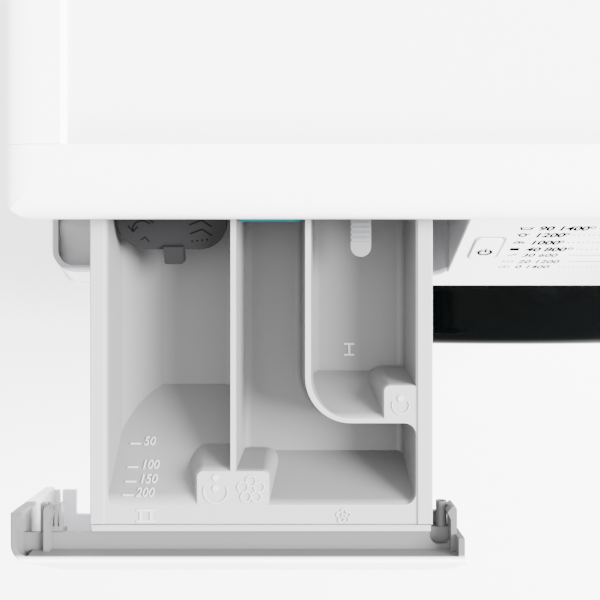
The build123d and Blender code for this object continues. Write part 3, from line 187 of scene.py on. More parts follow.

# One per material slot, one for each of two nodes whose hidden side carries painted shade, and the prints.
MATERIALS = {
    "white_paint": surface(
        "white_paint", "f3f3f6", rough=0.3, gloss=0.3, grain=1800, bump=0.03, mottle=0.006
    ),
    "white_plastic": surface("white_plastic", "f5f5f8", rough=0.34, gloss=0.3, bump=0.03, mottle=0.006),
    # Painted shade: the laminate darkens towards the front seam, where the raised front trim shades it.
    "worktop_laminate": surface(
        "worktop_laminate", "e9e9f0", rough=0.45, gloss=0.3, grain=700, bump=0.12, mottle=0.012,
        painted_shade=("cfcfd6", ((0, 1, 0), -0.098, -0.1225)),
    ),
    # Painted shade: the tray's grey is set low so that its inside reads as shaded, and below the rim it
    # darkens further.
    "tray_plastic": surface(
        "tray_plastic", "8d8d8e", rough=0.42, gloss=0.3, grain=4000, bump=0.05, mottle=0.008,
        painted_shade=("666565", ((0, 0, 1), 0.8288, 0.8245)),
    ),
    "dark_plastic": surface("dark_plastic", "1a1b1d", rough=0.5, gloss=0.1, grain=3000, bump=0.12),
    "flap_grey": surface("flap_grey", "1c1c1d", rough=0.5, gloss=0.1, grain=3500, bump=0.12),
    "teal_plastic": surface("teal_plastic", "02595f", rough=0.4, gloss=0.1),
    "black_gloss": surface("black_gloss", "010202", rough=0.14, gloss=0.035, bump=0.01),
    "grey_frame": surface("grey_frame", "5c5f63", rough=0.4, gloss=0.2),
    "window_black": surface("window_black", "010203", rough=0.1, gloss=0.035, bump=0.0),
    "door_glass": glass_surface(),
    "chrome": surface("chrome", "8f9092", rough=0.15, metal=1.0, bump=0.01),
    "stainless": brushed("stainless", "818385", 0.28),
    "zinc_steel": surface("zinc_steel", "75777a", rough=0.42, metal=1.0, bump=0.08, mottle=0.06),
    "cast_aluminium": surface("cast_aluminium", "707275", rough=0.5, metal=1.0, grain=900, bump=0.25),
    "counterweight": surface(
        "counterweight", "55534f", rough=0.9, gloss=0.1, grain=500, bump=0.6, mottle=0.12
    ),
    "tub_plastic": surface("tub_plastic", "727372", rough=0.5, gloss=0.2, grain=1500, bump=0.1, mottle=0.03),
    "motor_steel": surface("motor_steel", "1d1f22", rough=0.45, gloss=0.2, bump=0.08),
    "rubber_grey": surface("rubber_grey", "323436", rough=0.65, gloss=0.1, grain=2500, bump=0.15),
    "rubber_black": surface("rubber_black", "0a0a0b", rough=0.6, gloss=0.1, grain=2500, bump=0.15),
    "board_green": surface("board_green", "062412", rough=0.4, gloss=0.2, grain=1500, bump=0.1),
    # Painted shade: the white plastic turns dark grey behind the drawer's face and above 816 mm, where the
    # front shades the inner shelf.
    "drawer_front": surface(
        "drawer_front", "f5f5f8", rough=0.34, gloss=0.3, bump=0.03, mottle=0.006,
        painted_shade=("545454", (PANEL_OUT, 0.5990, 0.5965), ((0, 0, 1), 0.812, 0.816)),
    ),
    # Painted shade: the fascia's plastic turns grey behind its face, between x -299 and -70 mm, inside the
    # drawer's pocket.
    "control_panel": surface(
        "control_panel", "f5f5f8", rough=0.34, gloss=0.3, bump=0.03, mottle=0.006,
        painted_shade=(
            "88888a",
            (PANEL_OUT, 0.4390, 0.4365),
            ((1, 0, 0), -0.0690, -0.0705),
            ((1, 0, 0), -0.2998, -0.2988),
        ),
    ),
    # Painted highlight: the tray's own plastic, set lighter and without its painted shade, so that the raised
    # marks read as lit.
    "tray_mark_highlight": surface("tray_mark_highlight", "a4a4a5", rough=0.42, gloss=0.3, bump=0.03),
    "print_dark": surface("print_dark", "020202", rough=0.7, gloss=0.0, bump=0.02),
    "print_grey": surface("print_grey", "0b0c0c", rough=0.7, gloss=0.0, bump=0.02),
    "print_light": surface("print_light", "b8c4cc", rough=0.4, gloss=0.1, bump=0.02),
}

for entry in frame["record"]["subparts"]:
    mesh = nodes[entry["node"]].data
    mesh.materials.clear()
    mesh.materials.append(MATERIALS.get(entry["node"], MATERIALS[entry["material_slot"]]))


# ---- drawing helpers -----------------------------------------------------------------------------
def add_piece(name, verts, faces, material, body=None, slot=None, smooth=False):
    """A mesh in millimetres becomes a piece that rides on a body."""
    mesh = bpy.data.meshes.new(name)
    mesh.from_pydata([tuple(c * MM for c in v) for v in verts], [], faces)
    mesh.validate()
    mesh.materials.append(MATERIALS[material])
    if smooth:
        mesh.shade_smooth()
    piece = bpy.data.objects.new(name, mesh)
    bpy.context.scene.collection.objects.link(piece)
    if body:
        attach(piece, body)
    return piece


def text_polygons(body, size, weight):
    """The built-in font's outline of a number as filled polygons, its lower left corner at 0, 0."""
    curve = bpy.data.curves.new("digits", "FONT")
    curve.body = body
    curve.size = size
    curve.resolution_u = 3
    curve.offset = weight * size
    holder = bpy.data.objects.new("digits", curve)
    bpy.context.scene.collection.objects.link(holder)
    mesh = bpy.data.meshes.new_from_object(holder.evaluated_get(bpy.context.evaluated_depsgraph_get()))
    polygons = [[tuple(mesh.vertices[i].co[:2]) for i in p.vertices] for p in mesh.polygons]
    bpy.data.objects.remove(holder)
    bpy.data.curves.remove(curve)
    bpy.data.meshes.remove(mesh)
    return polygons


class Marks:
    """Marks gathered as polygons in the x and y of one plane, then laid on it with a small height."""

    def __init__(self):
        self.polygons = []

    def stroke(self, points, width):
        """A line of even width with mitred corners; it closes on itself where it ends at its start."""
        count = len(points)
        closed = math.dist(points[0], points[-1]) < 1e-6
        sides = []
        for i in range(count):
            before = points[i - 1] if i else (points[-2] if closed else None)
            after = points[i + 1] if i + 1 < count else (points[1] if closed else None)
            normals = []
            for a, b in ((before, points[i]), (points[i], after)):
                if a and b:
                    run = math.dist(a, b)
                    normals.append(((a[1] - b[1]) / run, (b[0] - a[0]) / run))
            nx, ny = sum(n[0] for n in normals), sum(n[1] for n in normals)
            spread = max(0.25, (nx * nx + ny * ny) / len(normals))
            reach = width / 2 / spread
            x, y = points[i]
            sides.append(((x + nx * reach, y + ny * reach), (x - nx * reach, y - ny * reach)))
        for (a, b), (c, d) in zip(sides, sides[1:]):
            self.polygons.append([b, d, c, a])

    def arc(self, x, y, r, start, end, width, steps=20, flat=1.0):
        angles = [math.radians(start + (end - start) * i / steps) for i in range(steps + 1)]
        self.stroke([(x + r * math.cos(a), y + flat * r * math.sin(a)) for a in angles], width)

    def disc(self, x, y, r, steps=16):
        turn = [2 * math.pi * i / steps for i in range(steps)]
        self.polygons.append([(x + r * math.cos(a), y + r * math.sin(a)) for a in turn])

    def box(self, x0, x1, y0, y1):
        self.polygons.append([(x0, y0), (x1, y0), (x1, y1), (x0, y1)])

    def text(self, body, x, y, size, slant=0.0, widen=1.0, weight=0.0):
        for polygon in text_polygons(body, size, weight):
            self.polygons.append([(x + widen * px + slant * py, y + py) for px, py in polygon])

    def dots(self, x0, x1, y, step, r=0.28):
        x = x0
        while x <= x1:
            self.disc(x, y, r, 8)
            x += step

    def lay(self, name, plane, material, body, height=0.05, slot=None):
        """plane is (origin, x direction, y direction); the marks rise by height from it."""
        origin, x_dir, y_dir = (Vector(v) for v in plane)
        up = x_dir.cross(y_dir).normalized()
        index, tops, edges = {}, [], {}
        for polygon in self.polygons:
            ids = [index.setdefault((round(x, 3), round(y, 3)), len(index)) for x, y in polygon]
            ids = [v for k, v in enumerate(ids) if v != ids[k - 1]]
            if len(set(ids)) == len(ids) >= 3:
                tops.append(ids)
                for a, b in zip(ids, ids[1:] + ids[:1]):
                    edges.setdefault((min(a, b), max(a, b)), []).append((a, b))
        count = len(index)
        verts = [origin + x_dir * x + y_dir * y + up * height for x, y in index]
        verts += [v - up * height for v in verts]
        # Walls stand only on the outer edges, where one polygon ends.
        walls = [(a, a + count, b + count, b) for (a, b), *more in edges.values() if not more]
        faces = tops + walls
        return add_piece(name, verts, faces, material, body, slot)


def revolve(points, steps, centre=(0, 0, 440), axis="y", closed=True):
    """Vertices and faces of a closed outline of (radius, height) turned about an axis through centre."""
    verts, faces = [], []
    n = len(points)
    for i in range(steps):
        c, s = math.cos(2 * math.pi * i / steps), math.sin(2 * math.pi * i / steps)
        for r, h in points:
            spot = (r * c, h, r * s) if axis == "y" else (r * c, r * s, h)
            verts.append(tuple(a + b for a, b in zip(centre, spot)))
    for i in range(steps):
        a, b = i * n, (i + 1) % steps * n
        for j in range(n if closed else n - 1):
            k = (j + 1) % n
            faces.append((a + j, a + k, b + k, b + j))
    return verts, faces


def smooth_loop(points, cuts):
    """A closed Catmull-Rom curve through the points."""
    made = []
    n = len(points)
    for i in range(n):
        p0, p1, p2, p3 = (points[(i + k - 1) % n] for k in range(4))
        for c in range(cuts):
            t = c / cuts
            spot = []
            for a, b, c2, d in zip(p0, p1, p2, p3):
                bend = (2 * a - 5 * b + 4 * c2 - d) * t * t + (3 * b - a - 3 * c2 + d) * t**3
                spot.append(0.5 * (2 * b + (c2 - a) * t + bend))
            made.append(tuple(spot))
    return made


def tube(path, radius, sides=10):
    """A tube along a list of points; radius is a number or a function of the point's index."""
    verts, faces = [], []
    points = [Vector(p) for p in path]
    side = None
    for i, point in enumerate(points):
        ahead = (points[min(i + 1, len(points) - 1)] - points[max(i - 1, 0)]).normalized()
        if side is None:
            side = ahead.orthogonal().normalized()
        side = (side - ahead * side.dot(ahead)).normalized()
        other = ahead.cross(side)
        r = radius(i) if callable(radius) else radius
        for k in range(sides):
            a = 2 * math.pi * k / sides
            verts.append(tuple(point + side * (r * math.cos(a)) + other * (r * math.sin(a))))
    for i in range(len(points) - 1):
        for k in range(sides):
            a, b = i * sides + k, i * sides + (k + 1) % sides
            faces.append((a, b, b + sides, a + sides))
    last = (len(points) - 1) * sides
    faces.append(tuple(range(sides))[::-1])
    faces.append(tuple(range(last, last + sides)))
    return verts, faces


def merge(*shapes):
    """Several (vertices, faces) pairs as one."""
    verts, faces = [], []
    for more_verts, more_faces in shapes:
        start = len(verts)
        verts += list(more_verts)
        faces += [tuple(i + start for i in face) for face in more_faces]
    return verts, faces


# ---- planes that marks are printed or moulded on --------------------------------------------------
MID_Z = 796.0
MID_Y = -155.5 - (839.0 - MID_Z) * math.tan(PANEL_LEAN)
PANEL_UP = (0, math.sin(PANEL_LEAN), math.cos(PANEL_LEAN))


def panel_plane(lift=0.0):
    """The leaning fascia: x to the right, y up the slope; lift moves it outwards."""
    out = (0, -math.cos(PANEL_LEAN) * lift, math.sin(PANEL_LEAN) * lift)
    return (0, MID_Y + out[1], MID_Z + out[2]), (1, 0, 0), PANEL_UP


def up_slope(z):
    """Distance up the fascia of the point at height z."""
    return (z - MID_Z) / math.cos(PANEL_LEAN)


POWER_X = -56.8
KNOB_X = 62.0
DISPLAY_X = 158.0
OPTION_XS = (128.0, 188.0)
START_X = 246.0
KEY_WIDTH, KEY_HEIGHT = 14.0, 25.6


def programme_rows():
    """Left legend: seven rows of an icon, temperature and spin speed, and a leader towards the knob."""
    bold, light = Marks(), Marks()
    rows = [
        (825.0, "90 1400"), (817.4, "1200"), (808.6, "1000"), (800.4, "40 800"),
        (793.0, "30 600"), (784.7, "20 1200"), (777.7, "0 1400"),
    ]
    for i, (z, numbers) in enumerate(rows):
        v = up_slope(z)
        marks = bold if i < 4 else light
        x = -41.2
        # Generic icons: a wash tub, a ring, a drop pair, a square, a bar, waves and a spiral.
        if i == 0:
            bowl = [(x - 3.4, v + 1.4), (x - 2.2, v - 1.6), (x + 2.2, v - 1.6), (x + 3.4, v + 1.4)]
            marks.stroke(bowl, 1.0)
            marks.stroke([(x - 2.8, v + 0.5), (x + 2.8, v + 0.5)], 0.8)
        elif i == 1:
            marks.arc(x, v, 1.7, 0, 360, 1.1)
            marks.stroke([(x - 3.4, v + 1.2), (x - 1.8, v + 0.4)], 0.8)
            marks.stroke([(x + 3.4, v + 1.2), (x + 1.8, v + 0.4)], 0.8)
        elif i == 2:
            for dx in (-1.9, 0.4, 2.5):
                marks.disc(x + dx, v - 0.4, 1.0, 10)
            marks.stroke([(x - 1.6, v + 1.6), (x + 2.0, v + 0.9)], 0.8)
        elif i == 3:
            marks.box(x - 2.5, x + 2.5, v - 1.6, v + 1.7)
        elif i == 4:
            blade = [(x - 3.2, v - 1.4), (x + 1.4, v + 1.3), (x + 3.0, v + 0.6), (x - 3.2, v - 1.4)]
            marks.stroke(blade, 0.6)
        elif i == 5:
            for dx in (-3.0, -0.6, 1.8):
                marks.stroke([(x + dx, v - 1.4), (x + dx + 0.8, v + 1.4), (x + dx + 1.6, v - 1.0)], 0.45)
        else:
            marks.arc(x - 1.4, v, 1.5, 0, 360, 0.5)
            marks.arc(x + 1.4, v, 1.5, 0, 360, 0.5)
        size, weight = (7.0, 0.035) if i < 4 else (6.2, 0.022)
        marks.text(numbers, -35.2, v - 0.36 * size, size, slant=0.16, widen=1.12, weight=weight)
        start = -35.2 + len(numbers) * size * 0.52 + 1.6
        if i < 4:
            marks.arc(start + 0.6, v + 1.0, 1.1, 0, 360, 0.7, 12)
        run = start + 4.4
        if i in (4, 5):
            light.stroke([(run, v), (22.0, v)], 0.5)
            light.disc(22.0, v, 0.8, 10)
        else:
            light.dots(run, 22.0, v, 2.6, 0.5)
    bold.lay("legend_left_bold", panel_plane(), "print_dark", "cabinet", slot="dark_plastic")
    light.lay("legend_left_light", panel_plane(), "print_grey", "cabinet", slot="dark_plastic")


def knob_scale():
    """Ticks and numbers round the selector, and a short legend on its right."""
    marks = Marks()
    for i in range(16):
        a = math.radians(90 + i * 22.5)
        c, s = math.cos(a), math.sin(a)
        inner, outer = (31.6, 34.2) if i % 4 else (31.6, 35.4)
        marks.stroke([(KNOB_X + inner * c, inner * s), (KNOB_X + outer * c, outer * s)], 0.6)
    for i, z in enumerate((825.0, 817.4, 808.6)):
        marks.text(str(15 * (i + 1)), 96.0, up_slope(z) - 2.0, 4.8, slant=0.16, widen=1.3)
    marks.lay("knob_scale", panel_plane(), "print_dark", "cabinet", slot="dark_plastic")


def key_symbols():
    """Power, start and option symbols on their keys' faces."""
    tilt = math.atan(0.9 / KEY_HEIGHT)
    up = (0, math.sin(PANEL_LEAN - tilt), math.cos(PANEL_LEAN - tilt))

    power = Marks()
    power.arc(0, 0, 3.4, 122, 418, 1.3, 24)
    power.stroke([(0, 0.2), (0, 4.6)], 1.1)
    start = Marks()
    start.polygons.append([(-3.4, -2.6), (0.6, 0.0), (-3.4, 2.6)])
    start.box(1.7, 2.6, -2.6, 2.6)
    start.box(3.5, 4.4, -2.6, 2.6)
    for marks, name, body, x, v, lift in (
        (power, "power_symbol", "power_key", POWER_X, 2.4, 0.95),
        (start, "start_symbol", "start_key", START_X, -1.0, 0.86),
    ):
        spot = Vector(panel_plane(lift)[0]) + Vector((x, 0, 0)) + Vector(PANEL_UP) * v
        marks.lay(name, (spot, (1, 0, 0), up), "print_dark", body, slot="dark_plastic")

    for number, (body, x) in enumerate(zip(("option_key_left", "option_key_right"), OPTION_XS), 1):
        marks = Marks()
        marks.stroke([(-3, 0), (3, 0)], 0.7)
        if number == 2:
            marks.stroke([(0, -2.4), (0, 2.4)], 0.7)
        spot = Vector(panel_plane(0.75)[0]) + Vector((x, 0, 0)) + Vector(PANEL_UP) * -25.4
        plane = (spot, (1, 0, 0), PANEL_UP)
        marks.lay(f"option_symbol_{number}", plane, "print_grey", body, slot="dark_plastic")


def key_gap_shade():
    """Painted shade: a fine grey ring round each key's hole stands in for the shade in the gap round the key.
    """
    marks = Marks()
    w, h, corner = KEY_WIDTH / 2 + 1.1, KEY_HEIGHT / 2 + 1.1, 3.4
    for x, v in ((POWER_X, 6.4), (START_X, 0.0)):
        loop = []
        for cx, cy, start in ((w, h, 0), (-w, h, 90), (-w, -h, 180), (w, -h, 270)):
            for step in range(5):
                a = math.radians(start + step * 22.5)
                inner_x, inner_y = cx - math.copysign(corner, cx), cy - math.copysign(corner, cy)
                loop.append((x + inner_x + corner * math.cos(a), v + inner_y + corner * math.sin(a)))
        marks.stroke(loop + loop[:1], 0.7)
    marks.lay("key_gap_shade", panel_plane(), "grey_frame", "cabinet")


SEGMENTS = {"1": "bc", "2": "abdeg", "5": "acdfg"}


def display_digits():
    """Seven-segment time and a row of level bars behind the display window."""
    marks = Marks()
    w, h, gap = 8.0, 15.0, 0.6
    base = 8 - h / 2
    bars = {
        "a": ((0, h), (w, h)),
        "b": ((w, h), (w, h / 2)),
        "c": ((w, h / 2), (w, 0)),
        "d": ((w, 0), (0, 0)),
        "e": ((0, 0), (0, h / 2)),
        "f": ((0, h / 2), (0, h)),
        "g": ((0, h / 2), (w, h / 2)),
    }
    x = DISPLAY_X - 8.0
    for symbol in "1:25":
        if symbol == ":":
            marks.disc(x, base + 4.0, 0.9)
            marks.disc(x, base + 10.5, 0.9)
            x += 4.0
            continue
        for part in SEGMENTS[symbol]:
            (ax, ay), (bx, by) = bars[part]
            # Each bar stops short of its corners.
            dx = gap * ((bx > ax) - (bx < ax))
            dy = gap * ((by > ay) - (by < ay))
            marks.stroke([(x + ax + dx, base + ay + dy), (x + bx - dx, base + by - dy)], 1.3)
        x += w + 4.2
    for i in range(5):
        marks.box(DISPLAY_X - 40 + i * 4.6, DISPLAY_X - 37 + i * 4.6, 2, 4.5 + i * 2.4)
    marks.arc(DISPLAY_X - 30, 20.5, 2.4, 0, 360, 0.6)
    marks.stroke([(DISPLAY_X - 30, 20.5), (DISPLAY_X - 30, 22.3)], 0.5)
    marks.lay("display_digits", panel_plane(0.1), "print_light", "cabinet", slot="white_plastic")


programme_rows()
knob_scale()
key_symbols()
key_gap_shade()
display_digits()


# ---- knob trim -------------------------------------------------------------------------------------
def knob_ring():
    """Bright ring between the knob's skirt and grip."""
    outline = smooth_loop([(24.6, 3.0), (26.6, 3.0), (26.9, 3.6), (26.2, 4.4), (24.8, 4.4)], 3)
    verts, faces = revolve(outline, 72, (0, 0, 0), "z")
    out = Vector((0, -math.cos(PANEL_LEAN), math.sin(PANEL_LEAN)))
    origin = Vector(panel_plane()[0]) + Vector((KNOB_X, 0, 0))
    up = Vector(PANEL_UP)
    placed = [tuple(origin + Vector((1, 0, 0)) * x + up * y + out * z) for x, y, z in verts]
    add_piece("knob_ring", placed, faces, "chrome", "knob", smooth=True)


knob_ring()


# ---- drawer marks ----------------------------------------------------------------------------------
RIM_Z = 829.2  # top of the compartments' inner rim
LIP_Y = -300.7  # where the wash ramp meets the rim
RAMP_FALL = 51.0 / 56.0


def ramp_marks():
    """Volume marks moulded on the wash compartment's sloping front wall."""
    length = math.hypot(1, RAMP_FALL)
    down = (0, 1 / length, -RAMP_FALL / length)
    origin = (0, LIP_Y, RIM_Z)
    marks = Marks()
    for number, y, dash, start in (
        ("50", -274.2, -247.4, -240.4),
        ("100", -284.8, -246.9, -239.9),
        ("150", -291.1, -246.9, -239.9),
        ("200", -296.9, -247.2, -240.6),
    ):
        v = (y - LIP_Y) * length
        marks.stroke([(dash, v), (dash + 5.6, v)], 0.8)
        marks.text(number, start, v - 0.9, 7.6, slant=0.10, widen=0.82)
    # The raised marks take a lighter copy of the tray's plastic as painted highlight.
    marks.lay("volume_marks", (origin, (1, 0, 0), down), "tray_mark_highlight", "drawer", 0.6, "tray_plastic")


def flower(marks, x, y, size, width=0.6):
    """Five looped petals that stay clear of each other round a point."""
    near = 0.24 * size
    for petal in range(5):
        a = math.radians(90 + petal * 72)
        loop = []
        for i in range(15):
            t = 2 * math.pi * i / 14
            along = near + (size - near) * (1 - math.cos(t)) / 2
            aside = 0.30 * size * math.sin(t) * (1.35 - 0.35 * math.cos(t)) ** 0.5
            loop.append(
                (x + along * math.cos(a) - aside * math.sin(a), y + along * math.sin(a) + aside * math.cos(a))
            )
        loop[-1] = loop[0]
        marks.stroke(loop, width)


def cup(marks, x, y, r, dots, width=0.7):
    """A round bowl open to the rear, with one or two dots above it."""
    marks.arc(x, y, r, 155, 385, width, 28)
    for dy in dots:
        marks.disc(x, y + dy, 1.7, 18)


def tray_marks():
    """Symbols on the tabs, and the compartments' numerals and flower on the rims and floor."""
    plane = ((0, 0, RIM_Z), (1, 0, 0), (0, 1, 0))
    marks = Marks()
    cup(marks, -199.4, -293.9, 6.0, (6.9, 1.6))
    flower(marks, -181.6, -293.0, 7.0)
    cup(marks, -106.0, -250.4, 4.3, (3.4,), 0.6)
    for x in (-237.2, -232.0):
        marks.stroke([(x, -304.0), (x, -308.4)], 1.3)
    for y in (-303.4, -309.0):
        marks.stroke([(-239.4, y), (-229.8, y)], 1.1)
    flower(marks, -134.8, -306.3, 3.6, 0.6)
    # These raised marks, and the one on the floor below, take a lighter copy of the tray's plastic as painted
    # highlight.
    marks.lay("tray_marks", plane, "tray_mark_highlight", "drawer", 0.6, "tray_plastic")
    floor = Marks()
    floor.stroke([(-129.8, -222.1), (-129.8, -226.9)], 1.2)
    for y in (-221.5, -227.5):
        floor.stroke([(-132.6, y), (-127.0, y)], 1.0)
    low = ((0, 0, RIM_Z - 39.0), (1, 0, 0), (0, 1, 0))
    floor.lay("prewash_mark", low, "tray_mark_highlight", "drawer", 0.6, "tray_plastic")


def flap_marks():
    """Painted shade: the arrows engraved in the liquid flap's face are drawn as dark lines, standing in for
    the shade inside them.
    """
    a = math.radians(25)
    plane_up = Vector((0, -math.sin(a), math.cos(a)))
    origin = Vector((-223.4, -140.0, 823.0)) + plane_up * 2.2
    marks = Marks()
    for y in (-16.5, -21.5):
        marks.stroke([(9.0, y - 2.6), (15.5, y), (20.5, y - 3.6)], 0.7)
    for dx in (0.0, 2.6, 5.2, 7.8):
        marks.disc(10.0 + dx, -28.2 + 0.5 * (dx % 2), 0.55, 8)
    marks.arc(-15.5, -22.0, 5.2, 40, 190, 0.7, 12)
    marks.stroke([(-23.0, -19.5), (-20.6, -22.8), (-17.9, -20.0)], 0.7)
    marks.stroke([(-20.0, -14.0), (-12.5, -15.5), (-9.5, -18.0)], 0.7)
    marks.stroke([(-17.0, -27.6), (-14.4, -25.8), (-12.6, -28.6)], 0.6)
    plane = (origin, (1, 0, 0), (0, math.cos(a), math.sin(a)))
    marks.lay("flap_arrow_shade", plane, "print_grey", "flap", 0.06, "dark_plastic")


def tray_trim():
    """Front lip of the siphon cap, and dark strips of painted shade between the release lever's ribs."""
    lip = Marks()
    lip.box(-187.8, -155.8, -157.3, -156.0)
    lip.lay("siphon_cap_lip", ((0, 0, 825.2), (1, 0, 0), (0, 1, 0)), "teal_plastic", "drawer", 1.0)
    groove_shade = Marks()
    for y in (-165.6, -162.9, -160.2, -157.5):
        groove_shade.box(-130.2, -120.9, y, y + 1.2)
    groove_shade.lay("lever_groove_shade", ((0, 0, 821.22), (1, 0, 0), (0, 1, 0)), "grey_frame", "lever", 0.05)


ramp_marks()
tray_marks()
flap_marks()
tray_trim()


# ---- soft and coiled pieces ------------------------------------------------------------------------
def gasket():
    """Rubber bellows of the door opening: front lip, collar, two folds and the cuff on the tub's neck."""
    outline = [
        (157.5, -173.6), (159.6, -173.4), (160.2, -166.4), (175.0, -165.4), (178.5, -163.6), (184.2, -162.8),
        (187.4, -160.0), (187.4, -157.4), (184.8, -156.2), (184.8, -154.8), (187.4, -153.4), (187.4, -150.6),
        (184.0, -148.6), (179.4, -147.0), (179.0, -136.0), (179.0, -124.5), (176.6, -124.5), (176.5, -140.0),
        (176.9, -150.0), (183.6, -151.6), (184.4, -153.2), (182.4, -155.4), (182.4, -156.8), (184.4, -158.6),
        (182.8, -160.3), (172.0, -161.2), (158.0, -161.2), (157.3, -167.0),
    ]
    verts, faces = revolve(smooth_loop(outline, 2), 128)
    piece = add_piece("gasket_bellows", verts, faces, "rubber_grey", smooth=True)
    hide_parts("door_gasket")
    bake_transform(piece)


def dispenser_hose():
    """Corrugated hose from the dispenser down to the tub."""
    low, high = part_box("dispenser_hose")
    x, y = (low[0] + high[0]) / 2 / MM, (low[1] + high[1]) / 2 / MM
    z0, z1 = low[2] / MM + 0.2, high[2] / MM - 0.2
    wall = [(19.0, z0), (19.0, z0 + 18)]
    ribs = 9
    for i in range(ribs):
        z = z0 + 20 + i * (z1 - z0 - 40) / ribs
        wall += [(21.8, z + 1.6), (21.8, z + 3.6), (18.4, z + 5.4)]
    wall += [(19.0, z1 - 18), (19.0, z1)]
    inner = [(16.6, z1), (16.6, z0)]
    verts, faces = revolve(wall + inner, 40, (x, y, 0), "z")
    clips = []
    for z in (z0 + 9, z1 - 9):
        band = revolve([(19.1, z - 3), (20.0, z - 3), (20.0, z + 3), (19.1, z + 3)], 40, (x, y, 0), "z")
        clips.append(band)
    piece = add_piece("dispenser_bellows", verts, faces, "rubber_black")
    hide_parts("dispenser_hose")
    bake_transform(piece)
    add_piece("dispenser_clip_top", *clips[1], "zinc_steel", "cabinet")
    add_piece("dispenser_clip_low", *clips[0], "zinc_steel", "tub")


def sump_bellows():
    """Moulded, ribbed hose from the tub's sump to the filter chamber."""
    corners = [Vector(p) for p in ((100, -60, 184), (100, -60, 130), (100, -90, 70), (163, -90, 70))]
    path = []
    for i, corner in enumerate(corners):
        if i in (0, 3):
            path.append(corner)
            continue
        to_last = (corners[i - 1] - corner).normalized() * 24
        to_next = (corners[i + 1] - corner).normalized() * 24
        for step in range(9):
            t = step / 8
            path.append(corner + to_last * (1 - t) ** 2 + to_next * t * t)
    # Even spacing, so that the ribs come out even.
    even, carry = [path[0]], 0.0
    for a, b in zip(path, path[1:]):
        run = (b - a).length
        while carry + 1.5 <= run:
            carry += 1.5
            even.append(a + (b - a) * (carry / run))
        carry -= run
    total = len(even)

    def radius(i):
        plain = i < 14 or i > total - 15
        return 21.6 if plain else 21.2 + 1.6 * math.sin(i * 2 * math.pi / 6)

    piece = add_piece("sump_bellows", *tube(even, radius, 28), "rubber_black", smooth=True)
    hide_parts("sump_hose")
    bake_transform(piece)


def coil_springs():
    """Hooked coil springs that carry the tub."""
    shapes = []
    for x in (-190.0, 190.0):
        path = [(x, 150.0, 663.0), (x, 150.0, 674.0)]
        turns, per = 17, 20
        for i in range(turns * per + 1):
            a = 2 * math.pi * i / per
            grow = min(1.0, i / per, (turns * per - i) / per)
            z = 678.0 + 116.0 * i / (turns * per)
            path.append((x + 12 * grow * math.cos(a), 150 + 12 * grow * math.sin(a), z))
        path += [(x, 150.0, 800.0), (x, 150.0, 811.4)]
        shapes.append(tube(path, 2.0, 8))
    piece = add_piece("coil_springs", *merge(*shapes), "zinc_steel", smooth=True)
    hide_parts("suspension_springs")
    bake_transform(piece)


gasket()
dispenser_hose()
sump_bellows()
coil_springs()


# ---- drum and door details --------------------------------------------------------------------------
def drum_hole_shade():
    """Painted shade: rows of small dark discs stand in for the shade seen through the round holes in the
    drum's wall, and rings of them in its back.
    """
    verts, faces = [], []

    def hole(centre, across, along, r):
        start = len(verts)
        for k in range(8):
            a = 2 * math.pi * k / 8
            offset = Vector(across) * r * math.cos(a) + Vector(along) * r * math.sin(a)
            verts.append(tuple(Vector(centre) + offset))
        faces.append(tuple(range(start, start + 8)))

    wall = 236.45
    for row in range(16):
        for k in range(72):
            a = 2 * math.pi * (k + 0.5 * (row % 2)) / 72
            if min(abs((math.degrees(a) - lifter + 180) % 360 - 180) for lifter in (30, 150, 270)) < 9:
                continue
            c, s = math.cos(a), math.sin(a)
            hole((wall * c, -72 + row * 17, 440 + wall * s), (-s, 0, c), (0, 1, 0), 2.0)
    for ring in range(7):
        r = 70 + ring * 20
        count = int(r / 4)
        for k in range(count):
            a = 2 * math.pi * k / count
            hole((r * math.cos(a), 204.3, 440 + r * math.sin(a)), (1, 0, 0), (0, 0, 1), 2.0)
    add_piece("drum_hole_shade", verts, faces, "dark_plastic", "drum")


def door_details():
    """Fine bright bead at the glass, and a dark inlay where the hand grips the ring's right side."""
    bead = smooth_loop([(158.2, -207.4), (160.1, -207.2), (160.1, -205.6), (158.2, -205.8)], 3)
    add_piece("door_bead", *revolve(bead, 160), "chrome", "door", smooth=True)
    verts, faces = [], []
    steps, rows = 28, 6
    for i in range(steps + 1):
        a = math.radians(-24 + 48 * i / steps)
        swell = math.sin(math.pi * i / steps) ** 0.5
        for j in range(rows + 1):
            t = j / rows
            r = 204 + 17 * (t - 0.5) * swell
            y = -228.25 - swell * (0.12 + 0.08 * math.sin(math.pi * t))
            verts.append((r * math.cos(a), y, 440 + r * math.sin(a)))
    for i in range(steps):
        for j in range(rows):
            a = i * (rows + 1) + j
            faces.append((a, a + 1, a + rows + 2, a + rows + 1))
    add_piece("door_grip_inlay", verts, faces, "dark_plastic", "door", smooth=True)


drum_hole_shade()
door_details()


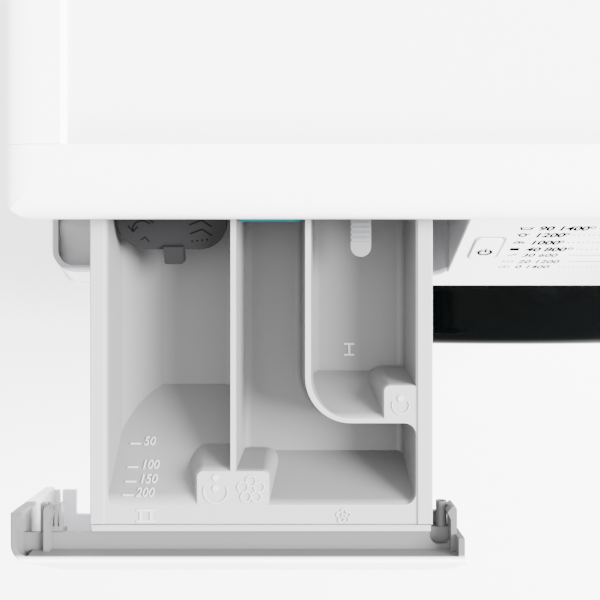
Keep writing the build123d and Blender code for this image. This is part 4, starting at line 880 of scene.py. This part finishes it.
# ---- back, sides and base ----------------------------------------------------------------------------
def back_details():
    """Pressed louvres on the back sheet, and the inlet's thread."""
    shapes = []
    for i in range(7):
        z = 690 + i * 12
        for x in (-60, 60):
            verts, faces = [], []
            rows = 6
            for j in range(13):
                px = x - 38 + 76 * j / 12
                swell = math.sin(math.pi * j / 12) ** 0.35 if j < 12 else 0.0
                for k in range(rows + 1):
                    t = k / rows
                    verts.append((px, 348.15 + 2.2 * swell * math.sin(math.pi * t) ** 0.7, z + 7 * t))
            for j in range(12):
                for k in range(rows):
                    a = j * (rows + 1) + k
                    faces.append((a, a + 1, a + rows + 2, a + rows + 1))
            shapes.append((verts, faces))
    add_piece("back_louvres", *merge(*shapes), "zinc_steel", "cabinet", smooth=True)
    rings = []
    for i in range(3):
        y = 349.4 + i * 1.0
        rings.append(revolve([(13.1, y - 0.3), (13.9, y), (13.1, y + 0.3)], 40, (-235, 0, 790), "y"))
    add_piece("inlet_thread", *merge(*rings), "tub_plastic", "cabinet", smooth=True)


back_details()


# ---- stage ---------------------------------------------------------------------------------------
def area_light(name, place, aim, size, watts):
    """Soft lamp that lights the surfaces without showing in their gloss."""
    data = bpy.data.lights.new(name, "AREA")
    data.shape = "DISK"
    data.size = size
    data.energy = watts
    lamp = bpy.data.objects.new(name, data)
    lamp.location = place
    lamp.visible_glossy = False
    lamp.rotation_euler = (Vector(aim) - Vector(place)).to_track_quat("-Z", "Y").to_euler()
    bpy.context.scene.collection.objects.link(lamp)


def stage_and_light():
    """Plain pale floor, a large soft key from the right and an even white surround."""
    bpy.ops.mesh.primitive_plane_add(size=16)
    floor = bpy.context.object
    floor.name = "floor"
    floor.data.materials.append(surface("floor", "fbfbfb", rough=0.9, grain=40, bump=0.02, mottle=0.003))

    world = bpy.data.worlds.new("sky")
    bpy.context.scene.world = world
    world.use_nodes = True
    world.node_tree.nodes["Background"].inputs["Color"].default_value = (1, 1, 1, 1)
    world.node_tree.nodes["Background"].inputs["Strength"].default_value = 3.4

    area_light("key", (3.8, 0.25, 4.1), (-0.15, -0.2, 0.8), 3.2, 2700)


stage_and_light()
